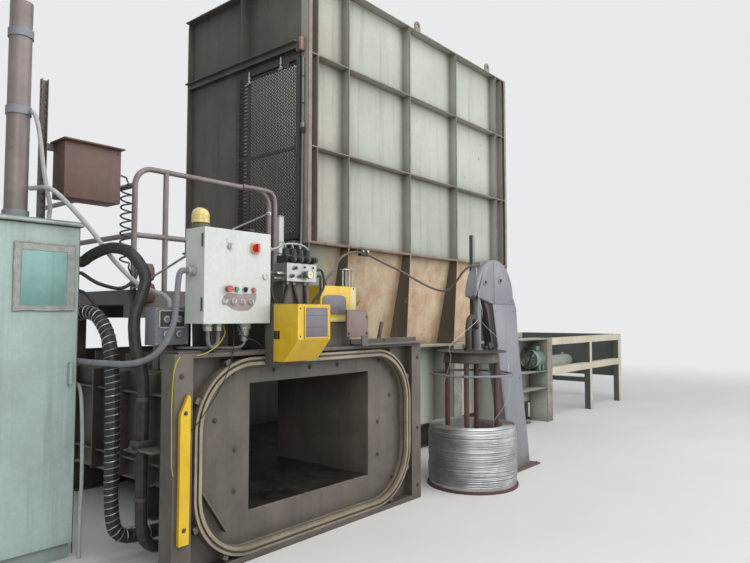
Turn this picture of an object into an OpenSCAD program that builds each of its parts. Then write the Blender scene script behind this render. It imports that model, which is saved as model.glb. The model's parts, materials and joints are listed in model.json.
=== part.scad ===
// Two-ram horizontal recycling baler with an automatic wire tier.
// The main ram pushes along -X through the charge box, the ejector ram pushes the bale along -Y.
// Origin: on the ground below the middle of the bale chamber. All sizes are in millimetres.

/* [Bale chamber] */
// Clear width of the bale chamber and of the discharge opening
chamber_w = 1240; // [1100:10:1300]
// Clear height of the bale chamber
bale_h = 850; // [780:10:880]
// Clear length of the bale chamber, which is also the clear width of the charge box
bale_l = 1500; // [1400:10:1560]
// Height of the chamber floor above the ground
floor_z = 300; // [260:10:340]
// Thickness of the floor plate
floor_t = 25; // [16:1:30]
// Thickness of the chamber, chute and charge box walls
wall_t = 25; // [16:1:30]
// Thickness of the plate that closes the chamber at the top
roof_t = 25; // [16:1:30]
// Length of the discharge chute between the chamber and the tier's face plate
chute_l = 1105; // [1000:5:1200]

/* [Charge box and hopper] */
// Height of the ledge on top of the charge box walls
ledge_z = 1270; // [1240:10:1320]
// Thickness of the ledge
ledge_t = 20; // [12:1:30]
// Distance from the chamber's middle to the hopper's near end wall
hopper_x = 685; // [680:1:720]
// Outer length of the hopper
hopper_l = 3845; // [3500:5:4200]
// Outer depth of the hopper over its panels
hopper_d = 1800; // [1760:10:1900]
// How far the hopper's middle lies in front of the chamber's middle
hopper_shift = 85; // [60:5:100]
// Height of the hopper's bottom flange above the ground
hopper_z = 2310; // [2200:10:2400]
// Height of the hopper above its bottom flange
hopper_h = 2620; // [2300:10:2800]
// Thickness of the hopper's panels
panel_t = 10; // [6:1:12]
// Depth of the hopper's ribs
rib_d = 100; // [80:5:120]
// Thickness of the hopper's ribs
rib_t = 12; // [8:1:16]
// Thickness of the hopper's flanges
flange_t = 20; // [12:1:24]
// Face width of the corner channels
corner_w = 130; // [100:5:160]
// How far a gusset's foot lies behind the rib above it
gusset_lean = 60; // [30:5:90]
// Width of a post under the ledge
post_w = 180; // [120:10:240]
// Thickness of the plate that the posts are folded from
post_t = 12; // [8:1:16]

/* [Rams] */
// Running clearance beside and above a ram
ram_gap = 5; // [3:1:8]
// Clearance under a ram's shoe
shoe_gap = 0.3; // [0.2:0.1:0.5]
// Thickness of a ram's face plate
ram_face_t = 40; // [30:5:50]
// Thickness of a ram's other plates
ram_t = 25; // [20:1:30]
// Length of the main ram
main_ram_l = 1100; // [1000:10:1200]
// Length of the ejector ram
eject_ram_l = 400; // [380:10:420]
// Outer diameter of a cylinder barrel
barrel_d = 250; // [230:5:270]
// Bore of a cylinder barrel
bore_d = 200; // [180:5:210]
// Diameter of a piston rod
rod_d = 140; // [110:5:150]
// Radial clearance of the rods and pistons
slide_gap = 0.05; // [0.02:0.01:0.09]
// Length of a gland and of a piston
gland_l = 100; // [80:5:120]
// Distance from a ram's face to the front of its cylinder
barrel_setback = 260; // [220:5:300]
// Length of the ram bed behind the main ram
bed_tail = 310; // [250:10:360]
// Width of the bed's beams
beam_w = 100; // [80:5:120]
// Height of the bed's lower beams above the ground
lower_beam_z = 700; // [680:10:720]
// Depth of the bed's beams
beam_h = 110; // [80:5:120]
// Thickness of the crossheads that hold the cylinders' closed ends
crosshead_t = 50; // [40:5:60]

/* [Tier] */
// Distance from the middle to the inner face of a tier post
post_in = 1120; // [1110:5:1160]
// Width of a tier post
tier_post_w = 130; // [100:5:150]
// Depth of the tier's frame
tier_d = 140; // [120:5:160]
// Height of the tier's frame
tier_h = 1370; // [1360:5:1420]
// Thickness of the tier's face plate
face_t = 15; // [10:1:20]
// Outer width of the wire track
track_w = 2200; // [2000:10:2210]
// Height of the wire track's lower edge above the ground
track_z = 40; // [40:1:50]
// Gap between the wire track and the top of the tier's frame
track_gap = 40; // [40:1:60]
// Outer corner radius of the wire track
track_r = 450; // [300:10:500]
// Width of the wire track's face
track_face = 56; // [50:2:80]
// Depth of the wire track
track_d = 80; // [60:5:90]
// Width of the groove that the wire runs in
groove_w = 12; // [8:1:16]

/* [Head] */
// Width of the twister's cover
cover_w = 306; // [290:2:310]
// Height of the twister's cover
cover_h = 384; // [370:2:400]
// Depth of the twister's cover
cover_d = 235; // [225:5:245]
// Sheet thickness of the covers
cover_t = 3; // [2:0.5:4]
// Number of teeth on the twister's drive gear
gear_teeth = 30; // [28:2:30]
// Number of teeth on the twister's pinion
pinion_teeth = 12; // [10:2:12]
// Gear module
gear_m = 5; // [4:0.5:5.5]
// Width of the gears
gear_t = 24; // [16:1:30]
// Radius of a feed wheel
feed_r = 62; // [55:1:64]
// Wire diameter
wire_d = 3; // [2.5:0.1:3.5]
// Running clearance of wheels on their axles
axle_gap = 0.05; // [0.02:0.01:0.09]

/* [Control box] */
// Width of the control box
box_w = 530; // [500:5:560]
// Height of the control box
box_h = 603; // [580:1:640]
// Depth of the control box with its door
box_d = 200; // [180:5:220]
// Height of the control box above the ground
box_z = 1557; // [1540:1:1600]
// Sheet thickness of the enclosures
sheet_t = 2; // [1.5:0.5:3]
// Thickness of a folded enclosure door
door_t = 20; // [16:1:24]
// Gap between an enclosure and its door
door_gap = 0.3; // [0.2:0.1:0.5]

/* [Platform] */
// Height of the operator's deck
deck_z = 1700; // [1680:10:1760]
// Thickness of the deck plate
deck_t = 8; // [6:1:10]
// Height of the hand rail above the deck
rail_h = 1035; // [1000:5:1100]
// Diameter of the guard rail's tube
rail_d = 42; // [38:1:48]
// Bend radius of the guard rail
rail_bend = 140; // [100:5:180]

/* [Electrical cabinet] */
// Width of the cabinet
cab_w = 900; // [800:10:1000]
// Depth of the cabinet
cab_d = 500; // [400:10:600]
// Height of the cabinet
cab_h = 2240; // [2100:10:2300]

/* [Wire supply] */
// Outer diameter of the wire coil
coil_d = 850; // [800:10:900]
// Inner diameter of the wire coil
coil_bore = 560; // [540:10:600]
// Height of the wire coil
coil_h = 550; // [400:10:600]
// Radius of the circle that the stand's posts lie on
stand_post_r = 240; // [220:5:250]
// Height of the stand's top disc
disc_z = 1262; // [1200:1:1300]
// Diameter of the stand's top disc
disc_d = 670; // [620:10:720]
// Radius of the guide tower's head
tower_r = 375; // [360:5:400]
// Thickness of the guide tower
tower_t = 120; // [100:5:140]
// Radius of a guide sheave
sheave_r = 100; // [80:5:105]
// Diameter of the wire guide tube
tube_d = 22; // [18:1:26]

/* [Hidden] */
$fn = 48;

// Colours of the paints and metals
hopper_green = [0.66, 0.70, 0.66];
dark_green = [0.30, 0.33, 0.31];
rusty_tan = [0.74, 0.62, 0.50];
worn_steel = [0.34, 0.31, 0.28];
track_cream = [0.62, 0.58, 0.50];
bright_yellow = [0.88, 0.72, 0.15];
light_grey = [0.82, 0.82, 0.79];
cabinet_teal = [0.62, 0.72, 0.68];
tower_grey = [0.50, 0.51, 0.53];
post_red = [0.45, 0.30, 0.28];
bare_steel = [0.75, 0.75, 0.76];
black_paint = [0.12, 0.12, 0.12];
rail_grey = [0.57, 0.50, 0.48];

// Chamber and charge box
half_w = chamber_w / 2;
half_l = bale_l / 2;
out_w = half_w + wall_t;
out_l = half_l + wall_t;
bale_top = floor_z + bale_h;
roof_top = bale_top + roof_t;
floor_low = floor_z - floor_t;
face_y = -half_l - chute_l;
ram_z = floor_z + bale_h / 2;

// Hopper planes
hop_x0 = hopper_x;
hop_x1 = hopper_x + hopper_l;
hop_y0 = -hopper_d / 2 - hopper_shift + panel_t;
hop_y1 = hop_y0 + hopper_d;
hop_top = hopper_z + hopper_h;
rib_y = hop_y0 - rib_d;
rear_rib_y = hop_y1 + rib_d;

// Rams and cylinders
ram_x = hop_x1 + ram_gap * 2;
main_stroke = ram_x - half_w - ram_gap * 2;
eject_stroke = half_l - face_y - ram_gap * 2;
bed_x1 = ram_x + main_ram_l + bed_tail;
barrel_x = ram_x + barrel_setback;
barrel_clear = gland_l * 2 + 90;
main_barrel_l = main_stroke + barrel_clear;
main_x1 = barrel_x + main_barrel_l;
pocket_y = half_l + eject_ram_l + 40;
barrel_y = half_l + barrel_setback;
eject_barrel_l = eject_stroke + barrel_clear;
eject_y1 = barrel_y + eject_barrel_l;

// Tier planes
tier_y0 = face_y - face_t - track_d;
tier_y1 = tier_y0 + tier_d;
tier_beam_t = 25;
track_x = track_w / 2;
track_h = tier_h - track_gap - track_z;
track_mid_z = track_z + track_h / 2;

// Control box planes
box_x0 = -1094;
box_x1 = box_x0 + box_w;
box_y0 = tier_y0 - 60;
box_y1 = box_y0 + box_d;
door_y = box_y0;
box_top = box_z + box_h;
button_pitch = 70;
button_x = box_x0 + 175;
button_z = box_z + 220;
row_drop = 80;

// Twister head
cover_x0 = box_x1 + 9;
cover_x1 = cover_x0 + cover_w;
cover_z0 = tier_h - 70;
cover_z1 = cover_z0 + cover_h;
head_t = 87;
cover_y1 = tier_y0 - head_t;
cover_y0 = cover_y1 - cover_d;
gear_x = cover_x1 - 125;
gear_z = cover_z0 + 225;
pitch_r = gear_m * gear_teeth / 2;
pinion_r = gear_m * pinion_teeth / 2;
mesh_play = 0.8;
mesh_dist = pitch_r + pinion_r + mesh_play;

// Wire feeder
feed_x0 = 18;
feed_w = 404;
feed_z0 = tier_h + 190;
feed_h = 280;
feed_d = 180;
feed_plate_t = 20;
feed_y1 = tier_y1 + 80;
feed_mid_x = feed_x0 + feed_w / 2 - 8;
feed_mid_z = feed_z0 + 130;

// Manifold
mani_x0 = -414;
mani_w = 287;
mani_z = tier_h + 480;
mani_h = 130;
mani_y0 = tier_y0 - 60;
mani_d = 140;

// Platform
deck_x0 = -1000;
deck_x1 = hop_x0 - 15;
deck_y0 = -930;
deck_y1 = 860;
rail_y = deck_y0 + 40;
rail_x0 = -940;
rail_x1 = 370;
rail_z = deck_z + rail_h;
mid_rail_z = deck_z + rail_h / 2;
joist_h = 100;

// Electrical cabinet
cab_x1 = -1400;
cab_x0 = cab_x1 - cab_w;
cab_y0 = -1010;
cab_y1 = cab_y0 + cab_d;
cab_sheet = 3;
plinth_h = 100;

// Mesh door on the hopper's near end wall
door_y0 = hop_y0 - 10;
door_w = 950;
door_z0 = hopper_z + 20;
door_h = 1770;
door_x1 = hop_x0 - 25;
mesh_t = 8;
frame_w = 45;
rail_bar_z = door_z0 + door_h + 60;
rail_bar_h = 50;
hatch_margin = 70;

// Wire supply
stand_x = 1960;
stand_y = -2050;
stand_base_t = 20;
disc_t = 8;
tower_x = 2275;
tower_y = -2080;
tower_z = 1800;
tower_skin = 8;
sheave_t = 40;
sheave_a = [tower_x - 204, tower_z + 140];
sheave_b = [tower_x + 95, tower_z + 171];
axle_r = 20;

// A box between two corners
module block(a, b) {
  translate(a) cube(b - a);
}

// A flat outline in X and Z, made solid from y0 to y1
module slab_y(y0, y1) {
  translate([0, y1, 0]) rotate([90, 0, 0]) linear_extrude(y1 - y0) children();
}

// A flat outline in Y and Z, made solid from x0 to x1
module slab_x(x0, x1) {
  translate([x0, 0, 0]) rotate([90, 0, 90]) linear_extrude(x1 - x0) children();
}

// A cylinder along Y from y0 to y1
module rod_y(x, z, r, y0, y1) {
  translate([x, y1, z]) rotate([90, 0, 0]) cylinder(r = r, h = y1 - y0);
}

// A cylinder along X from x0 to x1
module rod_x(y, z, r, x0, x1) {
  translate([x0, y, z]) rotate([0, 90, 0]) cylinder(r = r, h = x1 - x0);
}

// A rectangle with round corners, centred
module round_rect(w, h, r) {
  square([w - 2 * r, h], center = true);
  square([w, h - 2 * r], center = true);
  for (sx = [-1, 1], sy = [-1, 1]) {
    translate([sx * (w / 2 - r), sy * (h / 2 - r)]) circle(r);
  }
}

// An I section, centred
module i_section(w, h, tf, tw) {
  square([tw, h], center = true);
  for (s = [-1, 1]) {
    translate([0, s * (h - tf) / 2]) square([w, tf], center = true);
  }
}

// Functions for a round tube swept along a smooth line
function unit(v) = v / norm(v);
function tangent(p, i) = unit(p[min(i + 1, len(p) - 1)] - p[max(i - 1, 0)]);
function square_to(n, t) = unit(n - t * (n * t));
function normals(p, n = [0.36, 0.48, 0.8], i = 0) =
  i == len(p) ? [] :
  let (m = square_to(n, tangent(p, i))) concat([m], normals(p, m, i + 1));
function blend_point(a, b, c, d, t) =
  (2 * b + (c - a) * t + (2 * a - 5 * b + 4 * c - d) * t * t
    + (3 * b - a - 3 * c + d) * t * t * t) / 2;
function smooth_line(p, steps) = concat(
  [p[0]],
  [
    for (i = [1:len(p) - 3], k = [0:steps - 1])
      blend_point(p[i - 1], p[i], p[i + 1], p[i + 2], k / steps)
  ],
  [p[len(p) - 2], p[len(p) - 1]]
);

// A tube with round ends cut square, along a line of points
module swept_tube(line, d, sides = 8) {
  n = normals(line);
  last = len(line) - 1;
  points = [
    for (i = [0:last], k = [0:sides - 1])
      let (t = tangent(line, i), u = n[i], v = cross(t, u), a = 360 * k / sides)
        line[i] + (u * cos(a) + v * sin(a)) * d / 2
  ];
  faces = concat(
    [[for (k = [0:sides - 1]) k]],
    [[for (k = [sides - 1:-1:0]) last * sides + k]],
    [
      for (i = [0:last - 1], k = [0:sides - 1])
        let (a = i * sides + k, b = i * sides + (k + 1) % sides)
          [b, a, a + sides, b + sides]
    ]
  );
  polyhedron(points, faces);
}

// Base: two long beams under the charge box, cross members, chute rails and anchor pads
skid_y = half_l - 100;
skid_flange = 150;
anchor_x0 = 320 - half_w;
anchor_x1 = bed_x1 - 550;
anchor_y = skid_y + skid_flange / 2 + 100;
anchor_r = 13;
pad_t = 20;
sole_w = 300;

module anchor_pad(x, s) {
  difference() {
    block([x - 100, min(s * skid_y, s * (anchor_y + 100)), 0],
      [x + 100, max(s * skid_y, s * (anchor_y + 100)), pad_t]);
    translate([x, s * anchor_y, -1]) cylinder(r = anchor_r, h = pad_t + 2);
  }
}

module base_skid() {
  color(dark_green) {
    for (s = [-1, 1]) {
      slab_x(-out_w, bed_x1) translate([s * skid_y, floor_low / 2])
        i_section(skid_flange, floor_low, 16, 12);
      for (x = [anchor_x0, anchor_x1]) anchor_pad(x, s);
      translate([0, tier_y1, floor_low / 2]) rotate([-90, 0, 0])
        linear_extrude(-skid_y - tier_y1)
          translate([s * (half_w - 80), 0]) i_section(120, floor_low, 16, 12);
    }
    for (k = [0:5]) {
      block([k * 1150 - 100, -skid_y, 16], [k * 1150 - 88, skid_y, floor_low - 16]);
    }
    block([-sole_w / 2, -skid_y, 0], [sole_w / 2, skid_y, pad_t]);
  }
}

module floor_plate() {
  color(worn_steel) translate([0, 0, floor_low]) linear_extrude(floor_t) polygon([
    [-out_w, face_y], [out_w, face_y], [out_w, -out_l], [bed_x1, -out_l],
    [bed_x1, out_l], [out_w, out_l], [out_w, pocket_y], [-out_w, pocket_y]
  ]);
}

// Wall at the end of the main ram's stroke, with upright stiffeners outside
module chamber_end_wall() {
  color(worn_steel) {
    block([-out_w, face_y, floor_z], [-half_w, pocket_y, bale_top]);
    for (k = [0:6]) {
      y = face_y + 200 + k * (pocket_y - face_y - 400) / 6;
      block([-out_w - 90, y, floor_z], [-out_w, y + 16, bale_top]);
    }
    for (z = [floor_z + 150, bale_top - 166]) {
      block([-out_w - 60, face_y, z], [-out_w, pocket_y, z + 16]);
    }
  }
}

module chamber_roof() {
  color(dark_green) {
    block([-out_w, face_y, bale_top], [out_w, pocket_y, roof_top]);
    for (k = [0:3]) {
      y = -half_l - 60 + k * (bale_l + 100) / 3;
      block([-out_w, y, roof_top], [out_w, y + 16, roof_top + 120]);
    }
  }
}

module chute_wall() {
  color(worn_steel) {
    block([half_w, face_y, floor_z], [out_w, -half_l, bale_top]);
    for (k = [0:2]) {
      y = face_y + 60 + k * (chute_l - 240) / 2;
      block([out_w, y, floor_z], [out_w + 90, y + 16, bale_top]);
    }
    block([out_w, face_y, bale_top - 30], [out_w + 110, -out_l, bale_top]);
  }
}

// Upright post of folded plate between the charge box wall and the ledge's outer edge
module folded_post(x) {
  translate([x, 0, 0]) linear_extrude(ledge_z - ledge_t) {
    translate([-post_w / 2, rib_y]) square([post_w, post_t]);
    for (s = [-1, 1]) {
      translate([s * (post_w - post_t) / 2 - post_t / 2, rib_y]) {
        square([post_t, -out_l - rib_y]);
      }
    }
  }
}

rib_xs = [hop_x0 + 562, hop_x0 + 1591, hop_x0 + 2560, hop_x0 + 3562];

module front_wall() {
  color(hopper_green) {
    block([out_w, -out_l, floor_z], [bed_x1, -half_l, ledge_z - ledge_t]);
    block([out_w, rib_y, ledge_z - ledge_t], [bed_x1, -half_l, ledge_z]);
    for (x = rib_xs) folded_post(x);
    folded_post(bed_x1 - post_w / 2);
    for (z = [floor_z + 210, floor_z + 470]) {
      block([hop_x1 + 200, rib_y, z], [bed_x1, -out_l, z + post_t]);
    }
  }
}

module rear_wall() {
  color(hopper_green) {
    block([out_w, half_l, floor_z], [bed_x1, out_l, ledge_z - ledge_t]);
    block([out_w, half_l, ledge_z - ledge_t], [bed_x1, out_l + 120, ledge_z]);
    for (x = concat(rib_xs, [bed_x1 - post_w / 2])) {
      block([x, out_l, floor_z], [x + post_t, out_l + 120, ledge_z - ledge_t]);
    }
  }
}

// Open frame behind the ram bed that carries the main cylinder
module saddle(axis_z, foot_z) {
  difference() {
    translate([-220, foot_z]) square([440, axis_z - foot_z]);
    translate([0, axis_z]) circle(barrel_d / 2 + shoe_gap);
  }
}

bed_y = -rib_y;
upper_beam_z = ledge_z - beam_h;
main_leg_xs = [bed_x1 + (main_x1 - bed_x1) / 2, main_x1 - beam_w];

module cylinder_bed() {
  color(rusty_tan) {
    for (s = [-1, 1]) {
      y0 = s > 0 ? bed_y - beam_w : -bed_y;
      for (z = [lower_beam_z, upper_beam_z]) {
        block([bed_x1, y0, z], [main_x1, y0 + beam_w, z + beam_h]);
      }
      for (x = main_leg_xs) {
        block([x, y0, 0], [x + beam_w, y0 + beam_w, lower_beam_z]);
        block([x, y0, lower_beam_z + beam_h], [x + beam_w, y0 + beam_w, upper_beam_z]);
      }
    }
    block([main_x1, -bed_y, ram_z - 260], [main_x1 + crosshead_t, bed_y, upper_beam_z + beam_h]);
    x = main_leg_xs[0];
    block([x, -bed_y + beam_w, ram_z - 260], [x + beam_w, bed_y - beam_w, ram_z - 180]);
    for (s = [-1, 1]) {
      y0 = s > 0 ? bed_y - beam_w : -bed_y;
      block([x, y0, ram_z - 260], [x + beam_w, y0 + beam_w, lower_beam_z]);
    }
    slab_x(x, x + beam_w) saddle(ram_z, ram_z - 180);
  }
}

// Pocket and bed of the ejector ram behind the chamber
eject_leg_y = pocket_y + (eject_y1 - pocket_y) / 2;

module ejector_bed() {
  color(dark_green) {
    block([half_w, out_l, floor_z], [out_w, pocket_y, bale_top]);
    for (s = [-1, 1]) {
      x0 = s > 0 ? out_w - beam_w : -out_w;
      block([x0, skid_y + skid_flange / 2, floor_low - beam_h], [x0 + beam_w, eject_y1, floor_low]);
      for (y = [eject_leg_y, eject_y1 - beam_w]) {
        block([x0, y, 0], [x0 + beam_w, y + beam_w, floor_low - beam_h]);
      }
    }
    block([-out_w, eject_leg_y, floor_low], [out_w, eject_leg_y + beam_w, floor_z + 60]);
    slab_y(eject_leg_y, eject_leg_y + beam_w) saddle(ram_z, floor_z + 60);
    block([-out_w, eject_y1, floor_low - beam_h], [out_w, eject_y1 + crosshead_t, ram_z + 260]);
  }
}

module shear_blade() {
  color(bare_steel) difference() {
    block([out_w, -half_l, bale_top], [hop_x0 + panel_t, half_l, bale_top + 40]);
    for (k = [0:6]) {
      translate([(out_w + hop_x0 + panel_t) / 2, (k - 3) * bale_l / 7.5, bale_top + 28])
        cylinder(r = 11, h = 13);
    }
  }
}

// Hopper panels with flat ribs, corner channels and flanges
rib_zs = [hopper_z + 900, hopper_z + 1800];

module long_wall(y_panel, y_edge) {
  y0 = min(y_panel, y_edge);
  y1 = max(y_panel, y_edge);
  for (x = rib_xs) block([x, y0, hopper_z], [x + rib_t, y1, hop_top]);
  for (z = rib_zs) block([hop_x0, y0, z], [hop_x1, y1, z + rib_t]);
  block([hop_x0, y0, hopper_z - flange_t], [hop_x1, y1, hopper_z]);
  block([hop_x0, y0, hop_top - rib_t], [hop_x1, y1, hop_top]);
}

module corner_channel(x0, y_out, y_in) {
  y0 = min(y_out, y_in);
  y1 = max(y_out, y_in);
  block([x0, y0, hopper_z], [x0 + rib_t, y1, hop_top]);
  block([x0 + corner_w - rib_t, y0, hopper_z], [x0 + corner_w, y1, hop_top]);
}

module lifting_lug(x) {
  slab_y(rib_y, rib_y + flange_t) difference() {
    union() {
      translate([x - 50, hop_top]) square([100, 60]);
      translate([x, hop_top + 60]) circle(50);
    }
    translate([x, hop_top + 60]) circle(22);
  }
}

module hopper_front_wall() {
  color(hopper_green) {
    block([hop_x0, hop_y0, hopper_z - flange_t], [hop_x1, hop_y0 + panel_t, hop_top]);
    long_wall(hop_y0, rib_y);
    corner_channel(hop_x0, rib_y, hop_y0);
    corner_channel(hop_x1 - corner_w, rib_y, hop_y0);
    block([hop_x0, rib_y, hopper_z], [hop_x0 + 45, rib_y + rib_t, hop_top]);
    block([hop_x1 - 45, rib_y, hopper_z], [hop_x1, rib_y + rib_t, hop_top]);
    lifting_lug(hop_x0 + 1750);
    lifting_lug(hop_x1 - 500);
  }
}

module hopper_rear_wall() {
  color(hopper_green) {
    block([hop_x0, hop_y1 - panel_t, hopper_z - flange_t], [hop_x1, hop_y1, hop_top]);
    long_wall(hop_y1, rear_rib_y);
    corner_channel(hop_x0, rear_rib_y, hop_y1);
    corner_channel(hop_x1 - corner_w, rear_rib_y, hop_y1);
    sloping_plate(1, hop_y1);
    for (x = rib_xs) {
      slab_x(x, x + rib_t) polygon([
        [out_l + 100, ledge_z], [half_l + panel_t / 2, ledge_z],
        [hop_y1 - panel_t / 2, hopper_z - flange_t], [rear_rib_y, hopper_z - flange_t]
      ]);
    }
  }
}

// Near end wall with the hatch behind the mesh door, down to the shear blade
module hopper_side_wall() {
  y0 = hop_y0 + panel_t;
  y1 = hop_y1 - panel_t;
  neck_y0 = -half_l;
  neck_y1 = half_l;
  color(dark_green) {
    slab_x(hop_x0, hop_x0 + panel_t) difference() {
      polygon([
        [neck_y0, bale_top + 40], [neck_y1, bale_top + 40], [neck_y1, ledge_z],
        [y1, hopper_z - flange_t], [y1, hop_top], [y0, hop_top],
        [y0, hopper_z - flange_t], [neck_y0, ledge_z]
      ]);
      translate([door_y0 + hatch_margin, door_z0 + hatch_margin])
        square([door_w - 2 * hatch_margin, door_h - 2 * hatch_margin]);
    }
    block([hop_x0 - rib_d, door_y0 + door_w - 140, rail_bar_z + rail_bar_h],
      [hop_x0, door_y0 + door_w - 128, hop_top]);
    block([hop_x0 - rib_d, hop_y0, rail_bar_z + rail_bar_h],
      [hop_x0, hop_y1, rail_bar_z + rail_bar_h + rib_t]);
    block([hop_x0 - rib_d, hop_y0, hop_top - rib_t], [hop_x0, hop_y1, hop_top]);
    block([hop_x0 - 60, hop_y1 - rib_t, hopper_z], [hop_x0, hop_y1, hop_top]);
    block([hop_x0 - rib_d, hop_y0, hopper_z - flange_t], [hop_x0, hop_y1, hopper_z]);
  }
}

module hopper_end_wall() {
  y0 = hop_y0 + panel_t;
  y1 = hop_y1 - panel_t;
  neck_z = bale_top + 1 + roof_t;
  color(hopper_green) {
    slab_x(hop_x1 - panel_t, hop_x1) polygon([
      [-half_l, neck_z], [half_l, neck_z], [half_l, ledge_z],
      [y1, hopper_z - flange_t], [y1, hop_top], [y0, hop_top],
      [y0, hopper_z - flange_t], [-half_l, ledge_z]
    ]);
    block([hop_x1 - panel_t, -half_l, bale_top + 1], [bed_x1, half_l, neck_z]);
    for (y = [hop_y0 + hopper_d / 3, hop_y0 + 2 * hopper_d / 3]) {
      block([hop_x1, y, hopper_z], [hop_x1 + rib_d, y + rib_t, hop_top]);
    }
    for (z = concat(rib_zs, [hopper_z, hop_top - rib_t])) {
      block([hop_x1, hop_y0, z], [hop_x1 + rib_d, hop_y1, z + rib_t]);
    }
  }
}

// Sloping neck between the hopper and the charge box, with tapered gussets
module sloping_plate(s, y_top) {
  y_low = s * half_l;
  t = s * panel_t;
  slab_x(hop_x0 + panel_t, hop_x1 - panel_t) polygon([
    [y_low, ledge_z], [y_low + t, ledge_z],
    [y_top, hopper_z - flange_t], [y_top - t, hopper_z - flange_t]
  ]);
}

module transition_front() {
  color(rusty_tan) {
    sloping_plate(-1, hop_y0);
    for (x = concat([hop_x0 + panel_t], rib_xs, [hop_x1 - panel_t - rib_t])) {
      slab_x(x, x + rib_t) polygon([
        [rib_y + gusset_lean, ledge_z], [-half_l - panel_t / 2, ledge_z],
        [hop_y0 + panel_t / 2, hopper_z - flange_t], [rib_y, hopper_z - flange_t]
      ]);
    }
    block([hop_x0 + 745 - 50, rib_y, hopper_z - flange_t - 30],
      [hop_x0 + 745 + 50, hop_y0, hopper_z - flange_t]);
  }
}

// Door rail: a box track under the near end wall's cross rib, open along its lower face
hanger_ys = [door_y0 + 190, door_y0 + door_w - 170];
roller_r = 14;
rail_x = door_x1 - 7;
rail_wall = 4;
rail_w = 50;
slot_w = 16;
stop_t = 12;

module door_rail() {
  color(black_paint) {
    slab_y(hop_y0 + stop_t, hop_y1 - rib_t) difference() {
      translate([rail_x - rail_w / 2, rail_bar_z]) square([rail_w, rail_bar_h]);
      translate([rail_x - rail_w / 2 + rail_wall, rail_bar_z + rail_wall])
        square([rail_w - 2 * rail_wall, rail_bar_h - 2 * rail_wall]);
      translate([rail_x - slot_w / 2, rail_bar_z - 1]) square([slot_w, rail_wall + 2]);
    }
    block([rail_x - rail_w / 2 - 6, hop_y0, rail_bar_z - 40],
      [rail_x + rail_w / 2 + 6, hop_y0 + stop_t, rail_bar_z + rail_bar_h]);
  }
}

// Two rollers on an axle inside the rail, and the strap down to the door
module hanger(y) {
  z = rail_bar_z + rail_wall + shoe_gap + roller_r;
  for (s = [-1, 1]) rod_x(y, z, roller_r, rail_x + s * 13 - 6, rail_x + s * 13 + 6);
  rod_x(y, z, 5, rail_x - 18, rail_x + 18);
  block([rail_x - 4, y - 10, door_z0 + door_h - 5], [rail_x + 4, y + 10, z + 6]);
}

// Sliding door: flat frame, expanded mesh and two roller hangers
module mesh_door() {
  y1 = door_y0 + door_w;
  z1 = door_z0 + door_h;
  cols = 7;
  rows = 20;
  cell_w = (door_w - 2 * frame_w) / cols;
  cell_h = (door_h - 2 * frame_w) / rows;
  color(worn_steel) {
    slab_x(door_x1 - mesh_t, door_x1) difference() {
      translate([door_y0, door_z0]) square([door_w, door_h]);
      for (i = [0:cols - 1], k = [0:rows - 1]) {
        translate([door_y0 + frame_w + (i + 0.12) * cell_w, door_z0 + frame_w + (k + 0.2) * cell_h])
          square([cell_w * 0.76, cell_h * 0.6]);
      }
    }
    for (y = [door_y0, (door_y0 + y1) / 2 - 20, y1 - 40]) {
      block([door_x1 - 14, y, door_z0], [door_x1 - mesh_t, y + 40, z1]);
    }
    for (y = hanger_ys) hanger(y);
  }
}

// Tier frame with posts, beams and the brackets of the two control boxes
module tier_frame() {
  color(worn_steel) {
    for (s = [-1, 1]) {
      x0 = s > 0 ? post_in : -post_in - tier_post_w;
      block([x0, tier_y0, 0], [x0 + tier_post_w, tier_y1, tier_h - tier_beam_t]);
    }
    top_x = post_in + tier_post_w;
    block([-top_x, tier_y0, tier_h - tier_beam_t], [top_x, tier_y1 + 20, tier_h]);
    block([-top_x, tier_y1, tier_h - 90], [top_x, tier_y1 + 20, tier_h - tier_beam_t]);
    block([-post_in, tier_y0, 0], [post_in, tier_y1, track_z - 2]);
    block([370, tier_y0 - 60, tier_h], [top_x, tier_y0 + 60, tier_h + 14]);
    block([370, tier_y0 + 48, tier_h + 14], [top_x, tier_y0 + 60, tier_h + 50]);
    difference() {
      block([hose_x - 60, tier_y1, 770], [hose_x + 60, hose_y + 60, 785]);
      translate([hose_x, hose_y, 760]) cylinder(r = hose_d / 2 + 3, h = 40);
    }
    x = (box_x0 + box_x1) / 2;
    block([x - 110, tier_y0 + 40, tier_h], [x + 110, box_y1 + 50, tier_h + 15]);
    block([x - 70, box_y1, tier_h + 15], [x + 70, box_y1 + 50, box_top - 60]);
    block([-1200, tier_y0 + 40, tier_h], [-1040, station_y1, tier_h + 15]);
    block([-1150, station_y1 - 90, tier_h + 15], [-1090, station_y1 - 30, station_z]);
  }
}

module face_plate() {
  color(worn_steel) slab_y(face_y - face_t, face_y) difference() {
    translate([-post_in, track_z - 2]) square([2 * post_in, tier_h - tier_beam_t - track_z + 2]);
    translate([-half_w, floor_z]) square([chamber_w, bale_h]);
  }
}

// Wire track: a round-cornered ring with a groove that opens inwards
module track_ring(inset, w) {
  difference() {
    round_rect(track_w - 2 * inset, track_h - 2 * inset, track_r - inset);
    round_rect(track_w - 2 * inset - 2 * w, track_h - 2 * inset - 2 * w, track_r - inset - w);
  }
}

module wire_track() {
  color(track_cream) translate([0, 0, track_mid_z]) difference() {
    slab_y(tier_y0, face_y - face_t) track_ring(0, track_face);
    slab_y(tier_y0 + track_d / 2 - groove_w / 2, tier_y0 + track_d / 2 + groove_w / 2)
      track_ring(track_face / 2, track_face / 2 + 1);
    for (y = [tier_y0 - 1, face_y - face_t - 15]) {
      slab_y(y, y + 16) track_ring(18, 14);
    }
  }
}

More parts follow.
